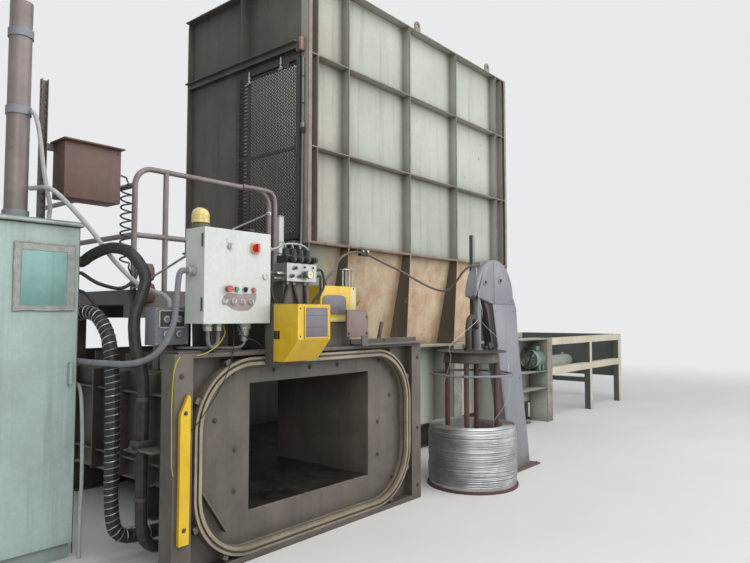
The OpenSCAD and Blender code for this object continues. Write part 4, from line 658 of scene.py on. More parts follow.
# Wire coil: separate turns of galvanised wire round a solid core
bm = bmesh.new()
layers = 58
for k in range(layers):
    z = 0.026 + (coil_top - 0.026) * k / (layers - 1)
    soft_end = 0.012 * (abs(k / (layers - 1) - 0.5) * 2) ** 8
    for radius in (0.418 - soft_end, 0.287 + soft_end):
        tilt = (shake.uniform(-0.006, 0.006), shake.uniform(-0.006, 0.006))
        line = ring_line(stand + up * z, radius + shake.uniform(-0.004, 0.004), 44, tilt)
        tube(bm, line, 0.0045, 4, closed=True)
for k in range(13):
    line = ring_line(stand + up * (coil_top + 0.001), 0.295 + 0.0095 * k, 44,
                     (shake.uniform(-0.01, 0.01), shake.uniform(-0.01, 0.01)))
    tube(bm, line, 0.005, 4, closed=True)
piece("wire_coil_turns", bm, "galvanised_wire", stands_for=["wire_coil"], sharp=80)
bm = bmesh.new()
lathe(bm, [(0.29, 0.021), (0.414, 0.021), (0.414, 0.56), (0.29, 0.56), (0.29, 0.021)],
      stand, up, 44)
piece("wire_coil_core", bm, "galvanised_wire")

# Three wires leave the coil's inside, pass the hoop and go over the disc's edge to the head
bm = bmesh.new()
for turn, lift in ((0.4, 0.0), (2.3, 0.05), (4.4, 0.02)):
    start, mid, top = (stand + Vector((r * math.cos(turn + a), r * math.sin(turn + a), z))
                       for r, a, z in ((0.30, 0, 0.56), (0.37, 0.5, 0.86), (0.345, 0.8, 1.2)))
    hose(bm, [start, start + up * 0.06, mid, top, top + up * (0.09 + lift),
              (1.95, -2.16, 1.55 + lift), (1.93, -2.155, 1.80), (1.95, -2.12, 2.05),
              (2.015, -2.085, 2.105), (2.039, -2.08, 2.11)], 0.0022, 4, steps=5)
piece("feed_wires", bm, "galvanised_wire", sharp=80)

# Mesh door: frame of flat bars, expanded metal near the machine's front, a louvred strip behind
door_y0, door_y1, door_z0, door_z1, seam_y = -0.985, -0.035, 2.33, 4.10, -0.235
bar = 0.045
bm = bmesh.new()
for y0, y1 in ((door_y0, door_y0 + bar), (seam_y - 0.02, seam_y + 0.02), (door_y1 - bar, door_y1)):
    block(bm, (0.646, y0, door_z0), (0.660, y1, door_z1), 0.0015)
for z0, z1 in ((door_z0, door_z0 + bar), (3.19, 3.225), (door_z1 - bar, door_z1)):
    block(bm, (0.647, door_y0, z0), (0.660, door_y1, z1), 0.0015)
for k in range(44):
    z = door_z0 + 0.06 + k * 0.038
    block(bm, (0.6495, seam_y + 0.015, z), (0.6505, door_y1 - 0.04, z + 0.026),
          turn=Matrix.Rotation(math.radians(-32), 3, "Y"))
for y in (door_y0 + 0.19, door_y1 - 0.17):
    block(bm, (0.640, y - 0.05, door_z1 - 0.10), (0.647, y + 0.05, door_z1 + 0.004), 0.001)
    for dy in (-0.03, 0.03):
        bolt(bm, (0.640, y + dy, door_z1 - 0.03), (-1, 0, 0), 0.009)
    rod(bm, (0.649, y, door_z1 - 0.02), (0.649, y, door_z1 + 0.085), 0.0045, 8)
block(bm, (0.626, door_y0 + 0.015, 3.12), (0.647, door_y0 + 0.035, 3.30), 0.004)
piece("door_frame", bm, "hatch_dark", "mesh_door", stands_for=["mesh_door"])
# Expanded metal: zigzag strands side by side, each half a diamond out of step with the last
bm = bmesh.new()
pitch_y, pitch_z = 0.0225, 0.0165
row_count = int((door_z1 - door_z0 - 0.08) / pitch_z)
for k in range(int((seam_y - door_y0 - 0.06) / pitch_y) + 1):
    y = door_y0 + 0.04 + k * pitch_y
    line = [Vector((0.6535 + 0.0015 * (i % 2), y + (pitch_y / 2) * ((i + k) % 2),
                    door_z0 + 0.04 + i * pitch_z)) for i in range(row_count)]
    tube(bm, line, 0.0070, 4)
piece("expanded_metal", bm, "hatch_dark", "mesh_door", sharp=80)
bm = bmesh.new()
for y, z in ((-0.251, 3.985), (-0.732, 4.015)):
    rod(bm, (0.636, y, z), (0.636, y, z + 0.115), 0.008, 12)
    for lift in (0.010, 0.045):
        nut(bm, (0.636, y, z + lift), up, 0.014, 0.010)
    block(bm, (0.628, y - 0.035, z - 0.012), (0.646, y + 0.035, z + 0.006), 0.002)
piece("door_hangers", bm, "zinc", "mesh_door")

# Twister cover: bare panel in its field, hem beads, screws and the latch in the notch
bm = bmesh.new()
panel_x0, panel_x1, panel_z0, panel_z1, field_y = -0.486, -0.283, 1.464, 1.660, -2.2753
plate(bm, [(panel_x0 + 0.006, panel_z0), (panel_x1 - 0.006, panel_z0), (panel_x1, panel_z0 + 0.006),
           (panel_x1, panel_z1 - 0.006), (panel_x1 - 0.006, panel_z1), (panel_x0 + 0.006, panel_z1),
           (panel_x0, panel_z1 - 0.006), (panel_x0, panel_z0 + 0.006)],
      field_y - 0.0016, field_y + 0.0006, 0.0006)
piece("cover_panel", bm, "grey_panel", "head_cover")
# Two dark strips across the panel: painted shade standing for hairline grooves
bm = bmesh.new()
for z in (1.530, 1.610):
    block(bm, (panel_x0 + 0.008, field_y - 0.0024, z),
          (panel_x1 - 0.008, field_y - 0.001, z + 0.0018))
piece("groove_shade_strips", bm, "hatch_dark", "head_cover")
bm = bmesh.new()
rim = 0.010
for x in (panel_x0 - rim, panel_x1):
    block(bm, (x, field_y - 0.004, panel_z0 - rim), (x + rim, field_y + 0.003, panel_z1 + rim),
          0.0015)
for z in (panel_z0 - rim, panel_z1):
    block(bm, (panel_x0, field_y - 0.004, z), (panel_x1, field_y + 0.003, z + rim), 0.0015)
cover_right, hem_y = -0.251, -2.2715
for x in (cover_left, cover_right):
    tube(bm, [(x, hem_y, 1.449), (x, hem_y, 1.682)], 0.0018, 6)
tube(bm, [(cover_left, hem_y, 1.6825), (cover_right, hem_y, 1.6825)], 0.0018, 6)
piece("cover_frame", bm, "yellow_paint", "head_cover")
bm = bmesh.new()
for x in (-0.530, -0.268):
    for z in (1.470, 1.655):
        lathe(bm, [(0.0, 0.004), (0.004, 0.0036), (0.0065, 0.0), (0.0, 0.0)],
              (x, -2.2723, z), forward, 12)
block(bm, (-0.5565, -2.086, 1.452), (-0.5535, -2.044, 1.503), 0.001)
piece("cover_screws", bm, "hatch_dark", "head_cover")

# Feeder cover: arched panel, rubbed strip on its right, rods with their top plate, side fitting
bm = bmesh.new()
plate(bm, [(0.039, 1.621), (0.302, 1.621), (0.302, 1.732), (0.293, 1.752), (0.270, 1.764),
           (0.230, 1.769), (0.111, 1.769), (0.071, 1.764), (0.048, 1.752), (0.039, 1.732)],
      -1.9150, -1.9128, 0.0006)
piece("feeder_panel", bm, "grey_panel")
bm = bmesh.new()
plate(bm, [(0.340, 1.566), (0.418, 1.564), (0.418, 1.836), (0.350, 1.834), (0.346, 1.79),
           (0.352, 1.70), (0.343, 1.64)], feeder_face, feeder_face + 0.0014)
plate(bm, [(0.022, 1.564), (0.336, 1.566), (0.330, 1.596), (0.25, 1.606), (0.19, 1.594),
           (0.09, 1.602), (0.022, 1.588)], feeder_face, feeder_face + 0.0014)
piece("feeder_rubbed_edge", bm, "chalk_yellow")
bm = bmesh.new()
rods_y = -1.872
for x in (0.305, 0.342, 0.378, 0.412):
    rod(bm, (x, rods_y, 1.8405), (x, rods_y, 1.976), 0.0065, 12)
    nut(bm, (x, rods_y, 1.8405), up, 0.011, 0.010)
block(bm, (0.292, -1.892, 1.974), (0.426, -1.850, 1.982), 0.001)
for x in (0.342, 0.412):
    nut(bm, (x, rods_y, 1.982), up, 0.010, 0.008)
piece("tension_rods", bm, "zinc")
bm = bmesh.new()
block(bm, (0.4222, -1.868, 1.772), (0.452, -1.832, 1.804), 0.003)
nut(bm, (0.452, -1.850, 1.788), (1, 0, 0), 0.009, 0.012)
for x in (0.05, 0.39):
    bolt(bm, (x, -1.910, 1.825), forward, 0.006)
piece("feeder_fitting", bm, "hatch_dark")

# Pinkish guard plate in front of the tier's right half
bm = bmesh.new()
plate(bm, [(0.192, 1.447), (0.438, 1.447), (0.438, 1.612), (0.432, 1.634), (0.418, 1.648),
           (0.400, 1.653), (0.192, 1.653)], -2.0262, -2.0236, 0.001)
piece("guard_face", bm, "pink_primer")
bm = bmesh.new()
for x, z in ((0.42, 1.47), (0.42, 1.60), (0.21, 1.47)):
    bolt(bm, (x, -2.026, z), forward, 0.008)
# The plate's screws above, the slanted release lever on the ledge below
lever = Matrix.Rotation(math.radians(16), 3, "Y")
block(bm, (0.752, -1.884, 1.385), (0.786, -1.868, 1.560), 0.003, lever)
rod(bm, (0.792, -1.895, 1.405), (0.792, -1.86, 1.405), 0.012, 14)
nut(bm, (0.792, -1.895, 1.405), forward, 0.014, 0.010)
piece("release_lever", bm, "hatch_dark")

# Control door: bezels, main switch plate, rubbed patch, hinges and the plug on the box
bm = bmesh.new()
for k in range(4):
    lathe(bm, [(0.0155, 0.0), (0.0155, 0.0045), (0.0175, 0.006), (0.0205, 0.005), (0.0215, 0.0),
               (0.0155, 0.0)], (-0.919 + 0.07 * k, door_face, 1.777), forward, 28)
    lathe(bm, [(0.0153, 0.0), (0.0153, 0.006), (0.0175, 0.0075), (0.020, 0.006), (0.0215, 0.0),
               (0.0153, 0.0)], (-0.939 + 0.07 * k, door_face, 1.697), forward, 28)
lathe(bm, [(0.0153, 0.0), (0.0153, 0.005), (0.019, 0.005), (0.021, 0.0), (0.0153, 0.0)],
      (-0.904, door_face, 2.047), forward, 28)
lathe(bm, [(0.0142, 0.0), (0.0142, 0.0095), (0.016, 0.0105), (0.0195, 0.008), (0.021, 0.0),
           (0.0142, 0.0)], (-0.612, door_face, 1.869), forward, 28)
piece("button_bezels", bm, "zinc", "control_door")
bm = bmesh.new()
turns = around(24, math.radians(7.5))
switch_x, switch_z, half, hole_r = -0.701, 2.054, 0.034, 0.0285
square = [(switch_x + half * c / max(abs(c), abs(s)), switch_z + half * s / max(abs(c), abs(s)))
          for c, s in turns]
hole = [(switch_x + hole_r * c, switch_z + hole_r * s) for c, s in turns]
flat_ring(bm, square, hole, -2.0234, -2.0216)
piece("switch_plate", bm, "orange_plate", "control_door")
bm = bmesh.new()
plate(bm, [(-0.932, 1.744), (-0.90, 1.752), (-0.80, 1.748), (-0.683, 1.757), (-0.690, 1.70),
           (-0.712, 1.668), (-0.751, 1.642), (-0.81, 1.637), (-0.869, 1.645), (-0.921, 1.672),
           (-0.952, 1.724)], door_face - 0.0006, door_face + 0.0004)
piece("rubbed_paint", bm, "rubbed_patch", "control_door")
bm = bmesh.new()
pin_x, pin_y = -1.099, -1.992
for z in (1.640, 2.040):
    rod(bm, (pin_x, pin_y, z), (pin_x, pin_y, z + 0.075), 0.0055, 14)
    for end in (z - 0.003, z + 0.075):
        rod(bm, (pin_x, pin_y, end), (pin_x, pin_y, end + 0.003), 0.007, 14)
lathe(bm, [(0.0, 0.040), (0.018, 0.036), (0.024, 0.024), (0.019, 0.014), (0.010, 0.012),
           (0.010, 0.0), (0.0, 0.0)], (-0.645, -1.905, box_top), up, 24)
piece("box_hinges", bm, "hatch_dark")
# Cable glands and the stepped plug below the box, the elbow's collars on its side
bm = bmesh.new()
for x, r in ((-0.984, 0.030), (-0.904, 0.026)):
    for z, h, grow in ((1.548, 0.008, 1.15), (1.522, 0.018, 1.06), (1.510, 0.010, 0.95)):
        rod(bm, (x, box_y, z), (x, box_y, z + h), r * grow, 6 if h > 0.01 else 20)
plug_x = -0.694
for z, h, r in ((1.549, 0.008, 0.050), (1.520, 0.012, 0.0455), (1.477, 0.010, 0.036),
                (1.505, 0.006, 0.0445), (1.490, 0.006, 0.0335), (1.440, 0.010, 0.0245),
                (1.462, 0.005, 0.0235)):
    rod(bm, (plug_x, box_y, z), (plug_x, box_y, z + h), r, 24)
for x, r in ((-1.100, 0.033), (-1.120, 0.0305), (-1.134, 0.031)):
    rod(bm, (x, box_y, 1.887), (x + 0.010, box_y, 1.887), r, 6 if r > 0.031 else 24)
piece("glands", bm, "zinc")
beacon = Vector((-1.030, -1.870, box_top))
bm = bmesh.new()
lathe(bm, [(0.0, 0.0), (0.0630, 0.0), (0.0630, 0.025), (0.0605, 0.0300), (0.0480, 0.0305),
           (0.0475, 0.041), (0.0465, 0.041)], beacon, up, 36)
piece("beacon_base", bm, "dark_base")
bm = bmesh.new()
for lift in (0.062, 0.074, 0.086):
    tube(bm, ring_line(beacon + up * lift, 0.0565, 40), 0.0016, 4, closed=True)
piece("beacon_ribs", bm, "amber_lens")

# Corrugated conduit from the box's elbow, and the loop below the box
box_line = [(-1.1393, -1.9, 1.887), (-1.175, -1.9, 1.887), (-1.198, -1.9, 1.855),
            (-1.204, -1.893, 1.758), (-1.215, -1.888, 1.603), (-1.245, -1.874, 1.484),
            (-1.286, -1.82, 1.385), (-1.330, -1.73, 1.33), (-1.372, -1.56, 1.305),
            (-1.375, -1.25, 1.30)]
loop_line = [(-0.984, -1.9, 1.5117), (-0.984, -1.9, 1.46), (-0.972, -1.9, 1.42),
             (-0.944, -1.9, 1.404), (-0.916, -1.9, 1.42), (-0.904, -1.9, 1.46),
             (-0.904, -1.9, 1.5117)]
bm = bmesh.new()
tube(bm, wrap_line(smooth_line(box_line, 5), 0.0172, 0.008, 12), 0.0024, 4)
tube(bm, wrap_line(smooth_line(loop_line, 5), 0.0123, 0.007, 10), 0.0019, 4)
piece("conduit_ribs", bm, "grey_conduit", sharp=80)

# Grey leads from the box and over the valves, the bright tube back to the rail
bm = bmesh.new()
hose(bm, [(-0.5635, -1.93, 2.085), (-0.54, -1.93, 2.085), (-0.47, -1.93, 2.075),
          (-0.36, -1.935, 2.118), (-0.25, -1.95, 2.125), (-0.168, -1.95, 2.105),
          (-0.164, -1.95, 2.088), (-0.164, -1.95, 2.084)], 0.0075, 8)
for x in coil_xs[:3]:
    hose(bm, [(x, -1.95, 2.084), (x, -1.95, 2.10), (x - 0.01, -1.935, 2.128),
              (x - 0.02, -1.90, 2.125), (x - 0.02, -1.868, 2.085),
              (x - 0.015, -1.858, 2.03), (x - 0.01, -1.8565, 1.97),
              (x - 0.01, -1.8565, 1.93)], 0.005, 6, steps=5)
piece("valve_leads", bm, "light_hose", sharp=80)
bm = bmesh.new()
nut(bm, (-0.80, -1.9, 2.1605), up, 0.013, 0.010)
tube(bm, [(-0.80, -1.9, 2.158), (-0.80, -1.9, 2.172), (-0.796, -1.897, 2.180),
          (-0.785, -1.887, 2.186), (0.345, -0.915, 2.537), (0.360, -0.905, 2.538)], 0.0065, 8)
clip(bm, (0.37, rail_y, 2.538), up, 0.0235, 0.03)
piece("bright_tube", bm, "galvanised_wire", sharp=80)

# Valve block: fittings, gauge dial, coil nuts and plugs
bm = bmesh.new()
for x, z in ((-0.369, 1.888), (-0.294, 1.888), (-0.339, 1.945)):
    nut(bm, (x, -2.0215, z), forward, 0.0115, 0.010)
for x in (-0.160, -0.244):
    nut(bm, (x, -2.010, 1.955), forward, 0.008, 0.006)
for x in coil_xs:
    nut(bm, (x, -2.0445, 2.008), forward, 0.013, 0.009)
    block(bm, (x - 0.027, -1.9955, 1.983), (x + 0.027, -1.9895, 2.031), 0.003)
    rod(bm, (x, -1.95, 2.0845), (x, -1.95, 2.094), 0.010, 16, 0.007)
    for dx in (-0.024, 0.024):
        for y in (-1.981, -1.899):
            rod(bm, (x + dx, y, 2.0345), (x + dx, y, 2.041), 0.004, 6)
piece("valve_nuts", bm, "hatch_dark")
bm = bmesh.new()
for z, y in ((1.905, -1.97), (1.905, -1.91), (1.872, -1.94)):
    nut(bm, (-0.4135, y, z), (-1, 0, 0), 0.016, 0.022)
    rod(bm, (-0.440, y, z), (-0.462, y, z), 0.010, 14)
    nut(bm, (-0.460, y, z), (-1, 0, 0), 0.0135, 0.014)
for x in (-0.36, -0.30, -0.19):
    nut(bm, (x, -1.955, 1.8495), (0, 0, -1), 0.014, 0.018)
for z in (1.93, 1.885):
    nut(bm, (-0.1275, -1.94, z), (1, 0, 0), 0.014, 0.018)
piece("block_fittings", bm, "zinc")
gauge = Vector((-0.221, -2.0478, 1.903))
bm = bmesh.new()
lathe(bm, [(0.0, 0.0006), (0.0276, 0.0006), (0.0276, 0.0), (0.0, 0.0)], gauge, forward, 36)
piece("gauge_dial", bm, "dial_white")
bm = bmesh.new()
marks, dial = 21, gauge + Vector((0, -0.0008, 0))
for k in range(marks):
    a = math.radians(225 - 270 * k / (marks - 1))
    long = 0.005 if k % 5 == 0 else 0.003
    out = Vector((math.cos(a), 0, math.sin(a)))
    rod(bm, dial + out * (0.025 - long), dial + out * 0.025, 0.00035, 4)
needle = Vector((math.cos(math.radians(150)), 0, math.sin(math.radians(150))))
hub = gauge + Vector((0, -0.0016, 0))
rod(bm, hub - needle * 0.006, hub + needle * 0.020, 0.0009, 6, 0.0003)
lathe(bm, [(0.0, 0.003), (0.003, 0.0026), (0.0032, 0.0), (0.0, 0.0)], gauge, forward, 16)
piece("gauge_marks", bm, "black_wire")
bm = bmesh.new()
tube(bm, [gauge + Vector((0.0318 * c, -0.0015, 0.0318 * s)) for c, s in around(40)], 0.002, 6,
     closed=True)
piece("gauge_rim", bm, "zinc")

# Hoses of the valve block: down behind the covers, and the loops on its right
bm = bmesh.new()
for x, dx in ((-0.36, -0.03), (-0.30, 0.02), (-0.19, 0.0)):
    hose(bm, [(x, -1.955, 1.832), (x, -1.955, 1.81), (x + dx, -1.965, 1.74),
              (x + dx * 2, -1.97, 1.64), (x + dx, -1.965, 1.52),
              (x + dx, -1.958, 1.44), (x + dx, -1.955, 1.375),
              (x + dx, -1.955, 1.371)], 0.011, 8, steps=5)
for z, reach, y in ((1.93, 0.115, -1.94), (1.885, 0.085, -1.94)):
    hose(bm, [(-0.110, y, z), (-0.09, y, z), (-0.03, y - 0.01, z + 0.022),
              (-0.11 + reach, y - 0.01, z - 0.02), (-0.10 + reach, y, z - 0.12),
              (-0.075, y + 0.01, 1.72), (-0.115, y + 0.005, 1.60),
              (-0.118, y + 0.003, 1.45), (-0.118, y, 1.372)], 0.009, 8, steps=5)
for z, y, lean in ((1.905, -1.97, 0.0), (1.905, -1.91, 0.02), (1.872, -1.94, 0.04)):
    hose(bm, [(-0.472, y, z), (-0.485, y, z), (-0.512, y, z - 0.02),
              (-0.520 + lean, y, z - 0.12), (-0.50 + lean, y, 1.72), (-0.49 + lean, y, 1.695),
              (-0.49 + lean, y, 1.6905)], 0.008, 8, steps=5)
piece("valve_hoses", bm, "black_rubber", sharp=80)

# Earth lead and signal leads below the box: they hang down to the tier's beam and post
bm = bmesh.new()
hose(bm, [(-0.865, -1.905, 1.5565), (-0.865, -1.905, 1.535), (-0.875, -1.93, 1.49),
          (-0.935, -1.955, 1.43), (-1.00, -1.962, 1.39), (-1.06, -1.956, 1.366),
          (-1.10, -1.952, 1.36)], 0.003, 6)
hose(bm, [(-1.215, -1.952, 1.36), (-1.23, -1.965, 1.352), (-1.275, -1.985, 1.28),
          (-1.29, -1.99, 1.10), (-1.285, -1.985, 0.90), (-1.272, -1.97, 0.72),
          (-1.252, -1.955, 0.66), (-1.249, -1.95, 0.655)], 0.003, 6)
piece("earth_leads", bm, "signal_yellow_wire", sharp=80)
bm = bmesh.new()
hose(bm, [(-0.79, -1.905, 1.5565), (-0.79, -1.905, 1.53), (-0.80, -1.93, 1.46),
          (-0.86, -1.975, 1.30), (-0.97, -1.99, 1.12), (-1.09, -1.985, 0.97),
          (-1.15, -1.96, 0.90), (-1.16, -1.951, 0.893)], 0.0035, 6)
hose(bm, [(-0.745, -1.905, 1.5565), (-0.745, -1.905, 1.54), (-0.72, -1.94, 1.47),
          (-0.66, -1.985, 1.435), (-0.62, -1.98, 1.41), (-0.60, -1.962, 1.385),
          (-0.597, -1.955, 1.3705)], 0.003, 6)
piece("signal_leads", bm, "black_wire", sharp=80)

# Hopper: weld beads along ribs and gussets, the rusty lower flange, switch and rail bracket
rib_xs = (1.247, 2.276, 3.245, 4.247)
bm = bmesh.new()
for x in rib_xs:
    for side in (-0.003, 0.015):
        tube(bm, [(x + side, -0.978, z) for z in (2.312, 4.928)], 0.004, 5)
for z in (3.207, 4.107):
    tube(bm, [(x, -0.978, z) for x in (0.70, 4.515)], 0.004, 5)
piece("hopper_welds", bm, "hopper_paint")
bm = bmesh.new()
for x in rib_xs:
    tube(bm, [(x - 0.003, -0.974, 2.286), (x - 0.003, -0.756, 1.276)], 0.005, 5)
piece("gusset_welds", bm, "tan_paint")
bm = bmesh.new()
block(bm, (0.6842, -1.0785, 2.2885), (4.5308, -1.0735, 2.3115), 0.0015)
for k in range(12):  # flakes of scale left on the lip
    x = 0.72 + 0.33 * k
    block(bm, (x, -1.0795, 2.292),
          (x + 0.05 + 0.06 * shake.random(), -1.0780, 2.303 + 0.006 * shake.random()))
piece("lower_flange_edge", bm, "rusty_flange")
bm = bmesh.new()
block(bm, (0.630, -1.0225, 4.130), (0.6845, -0.9865, 4.258), 0.003)
piece("rail_end_bracket", bm, "rusty_flange")
bm = bmesh.new()
block(bm, (0.6545, -1.0325, 3.386), (0.6848, -0.9895, 3.4318), 0.002)
rod(bm, (0.640, -1.011, 3.400), (0.655, -1.011, 3.400), 0.009, 14)
piece("limit_switch_head", bm, "zinc")
bm = bmesh.new()
block(bm, (0.6545, -1.0325, 3.3378), (0.6848, -0.9895, 3.3858), 0.002)
block(bm, (0.638, -1.017, 3.36), (0.643, -1.005, 3.41), 0.001)
rod(bm, (0.634, -1.011, 3.367), (0.643, -1.011, 3.367), 0.010, 16)
for z in (3.62, 3.88):
    clip(bm, (0.670, -1.011, z), up, 0.0145, 0.018)
piece("limit_switch_body", bm, "hatch_dark")
bm = bmesh.new()
nut(bm, (1.475, -1.125, 2.262), forward, 0.017, 0.014)
nut(bm, (1.405, -1.125, 2.262), forward, 0.012, 0.010)
nut(bm, (1.48, -1.10, 2.285), up, 0.012, 0.012)
piece("clamp_nuts", bm, "zinc")
bm = bmesh.new()
block(bm, (1.380, -1.126, 2.216), (1.505, -1.080, 2.286), 0.005)
piece("tube_clamp", bm, "hatch_dark")

# Tier: bolts round the face plate, on the posts and through the edge guard
bm = bmesh.new()
for side in (-1, 1):
    for x, z in ((0.76, 1.225), (0.93, 1.10), (0.90, 0.93), (0.74, 0.72), (0.74, 0.45),
                 (0.93, 0.24)):
        bolt(bm, (side * x, beam_face, z), forward, 0.013)
    for z in (0.12, 0.62, 1.24):
        bolt(bm, (side * 1.20, post_face, z), forward, 0.012)
for x in (-0.40, -0.05, 0.25):
    bolt(bm, (x, beam_face, 1.225), forward, 0.013)
for z in (0.33, 1.02):
    bolt(bm, (-1.185, -1.976, z), forward, 0.010)
piece("tier_bolts", bm, "hatch_dark")

# Platform: raised bars of the deck, second bend of the rail, post flanges, grey post, lamp
bm = bmesh.new()
for k in range(24):
    x = -0.985 + 0.069 * k
    block(bm, (x, -0.91, 1.6995), (x + 0.012, 0.84, 1.7035))
piece("deck_bars", bm, "worn_steel")
bm = bmesh.new()
hose(bm, [(0.06, -0.905, 2.741), (0.10, -0.905, 2.741), (0.33, -0.906, 2.740),
          (0.395, -0.907, 2.715), (0.424, -0.908, 2.65), (0.426, -0.908, 2.45),
          (0.426, -0.908, 1.76), (0.426, -0.908, deck_top)], 0.021, 14)
for x, y in ((-0.68, rail_y), (0.37, rail_y), (-0.94, rail_y), (0.426, -0.908)):
    rod(bm, (x, y, deck_top), (x, y, deck_top + 0.0075), 0.042, 24)
for x in (-0.68, 0.37):
    clip(bm, (x, rail_y, 2.2175), up, 0.0235, 0.03)
piece("rail_extras", bm, "rail_paint", sharp=60)
bm = bmesh.new()
block(bm, (0.482, -0.905, deck_top), (0.542, -0.845, 2.53), 0.003)
block(bm, (0.478, -0.909, 2.53), (0.546, -0.841, 2.536), 0.001)
piece("grey_post", bm, "light_grey_paint")
bm = bmesh.new()
lathe(bm, [(0.0, 0.0), (0.050, 0.0), (0.062, 0.02), (0.064, 0.10), (0.050, 0.135),
           (0.030, 0.145), (0.030, 0.155), (0.050, 0.165), (0.057, 0.19), (0.055, 0.25),
           (0.040, 0.285), (0.0, 0.292)], (-0.885, -0.985, deck_top + 0.008), up, 32)
block(bm, (-0.93, -1.02, deck_top), (-0.84, -0.88, deck_top + 0.009), 0.002)
nut(bm, (-0.940, -0.985, 1.925), (-1, 0, 0), 0.018, 0.016)
piece("lamp_housing", bm, "brown_box", sharp=50)

# Hose bundle: a spiral round its whole length, bright as painted highlight for the glints on its
# black coil, and clamps on the thick hose
bundle_line = [(-1.3997, -0.90, 1.62), (-1.345, -0.90, 1.62), (-1.314, -0.98, 1.63),
               (-1.30, -1.12, 1.58), (-1.297, -1.27, 1.38), (-1.295, -1.31, 0.90),
               (-1.29, -1.31, 0.35), (-1.22, -1.31, 0.17), (-1.0, -1.31, 0.137)]
bm = bmesh.new()
tube(bm, wrap_line(smooth_line(bundle_line, 5), 0.0462, 0.042, 14), 0.0032, 4)
piece("bundle_glint_spiral", bm, "galvanised_wire", sharp=80)
bm = bmesh.new()
block(bm, (-1.345, -1.662, 0.766), (-1.155, -1.542, 0.778), 0.002)
block(bm, (-1.312, -1.650, 0.778), (-1.188, -1.552, 0.828), 0.010)
for x in (-1.327, -1.173):
    nut(bm, (x, -1.602, 0.778), up, 0.012, 0.012)
for z in (1.08, 0.46):
    clip(bm, (-1.25, -1.60, z), up, 0.0415, 0.022)
piece("hose_clamps", bm, "hatch_dark")

# Cabinet: sealed patch with its teal plate, drip edge, hinges, conduit collars, strut slots
bm = bmesh.new()
outer, inner, side_steps = [], [], 16
for ax, az, bx, bz in ((0, 0, 1, 0), (1, 0, 1, 1), (1, 1, 0, 1), (0, 1, 0, 0)):
    for k in range(side_steps):
        u, w = ax + (bx - ax) * k / side_steps, az + (bz - az) * k / side_steps
        jitter = [shake.uniform(-0.0035, 0.0035) for _ in range(4)]
        outer.append((-1.813 + 0.381 * u + jitter[0], 1.642 + 0.436 * w + jitter[1]))
        inner.append((-1.774 + 0.292 * u + jitter[2], 1.672 + 0.360 * w + jitter[3]))
flat_ring(bm, outer, inner, -1.0184, -1.0155)
tube(bm, [(x, -1.0168, z) for x, z in outer], 0.0045, 6, closed=True)
tube(bm, [(x, -1.0172, z) for x, z in inner], 0.0030, 6, closed=True)
piece("patch_border", bm, "sealant", "cabinet_door", sharp=60)
bm = bmesh.new()
plate(bm, [(-1.772, 1.668), (-1.492, 1.664), (-1.486, 2.026), (-1.60, 2.034), (-1.768, 2.028)],
      -1.0178, -1.0158, 0.0005)
piece("teal_field", bm, "teal_plate", "cabinet_door")
bm = bmesh.new()
for z, radius in ((2.2125, 0.004), (2.238, 0.003)):
    tube(bm, [(-2.314, -1.0345, z), (-1.386, -1.0345, z)], radius, 6)
tube(bm, [(-1.3855, -1.034, 2.238), (-1.3855, -0.506, 2.238)], 0.003, 6)
for z in (0.35, 1.15, 1.95):
    rod(bm, (-2.304, -1.003, z), (-2.304, -1.003, z + 0.09), 0.0075, 14)
riser_x, riser_y = -1.758, -0.86
for z, r, h in ((2.240, 0.105, 0.010), (2.250, 0.080, 0.045), (2.93, 0.078, 0.055),
                (3.45, 0.078, 0.055)):
    rod(bm, (riser_x, riser_y, z), (riser_x, riser_y, z + h), r, 32)
for c, s in around(6, 0.3):
    bolt(bm, (riser_x + 0.092 * c, riser_y + 0.092 * s, 2.250), up, 0.007)
block(bm, (-1.66, -0.905, 2.240), (-1.54, -0.815, 2.247), 0.001)
piece("cabinet_trim", bm, "tower_paint")
bm = bmesh.new()
slots, slot_pitch = 20, 0.0475
for k in range(slots):
    z = 2.285 + slot_pitch * k
    rod(bm, (-1.600, -0.8805, z), (-1.600, -0.8815, z), 0.0085, 14)
    rod(bm, (-1.6205, -0.860, z), (-1.6215, -0.860, z), 0.0070, 12)
piece("strut_slots", bm, "black_plastic")
bm = bmesh.new()
block(bm, (-1.539, -1.062, 2.398), (-1.145, -0.879, 2.783), 0.004)
block(bm, (-1.556, -1.092, 2.783), (-1.128, -0.868, 2.794), 0.002)
for x in (-1.515, -1.169):
    for z in (2.425, 2.755):
        bolt(bm, (x, -1.062, z), forward, 0.006)
piece("junction_skin", bm, "brown_box")

# Conduits, hoses and the curly lead beside the cabinet
bm = bmesh.new()
hose(bm, [(-1.70, -0.93, 2.955), (-1.695, -0.96, 2.93), (-1.690, -1.02, 2.82),
          (-1.655, -1.04, 2.52), (-1.60, -1.00, 2.34), (-1.590, -0.97, 2.28),
          (-1.590, -0.97, 2.2405)], 0.014, 10)
hose(bm, [(-1.69, -0.90, 2.45), (-1.67, -0.93, 2.45), (-1.61, -1.085, 2.42),
          (-1.40, -1.125, 2.205), (-1.22, -1.15, 1.98), (-1.10, -1.26, 1.82),
          (-1.07, -1.48, 1.755), (-1.10, -1.62, 1.72), (-1.10, -1.65, 1.69),
          (-1.10, -1.65, 1.6605)], 0.016, 10)
hose(bm, [(cabinet_side, -0.935, 1.15), (-1.375, -0.935, 1.15), (-1.362, -0.99, 1.10),
          (-1.372, -1.05, 0.90), (-1.368, -1.055, 0.55), (-1.372, -1.05, 0.20),
          (-1.372, -1.05, 0.06), (-1.372, -1.05, 0.001)], 0.013, 10)
piece("light_conduits", bm, "light_hose", sharp=80)
bm = bmesh.new()
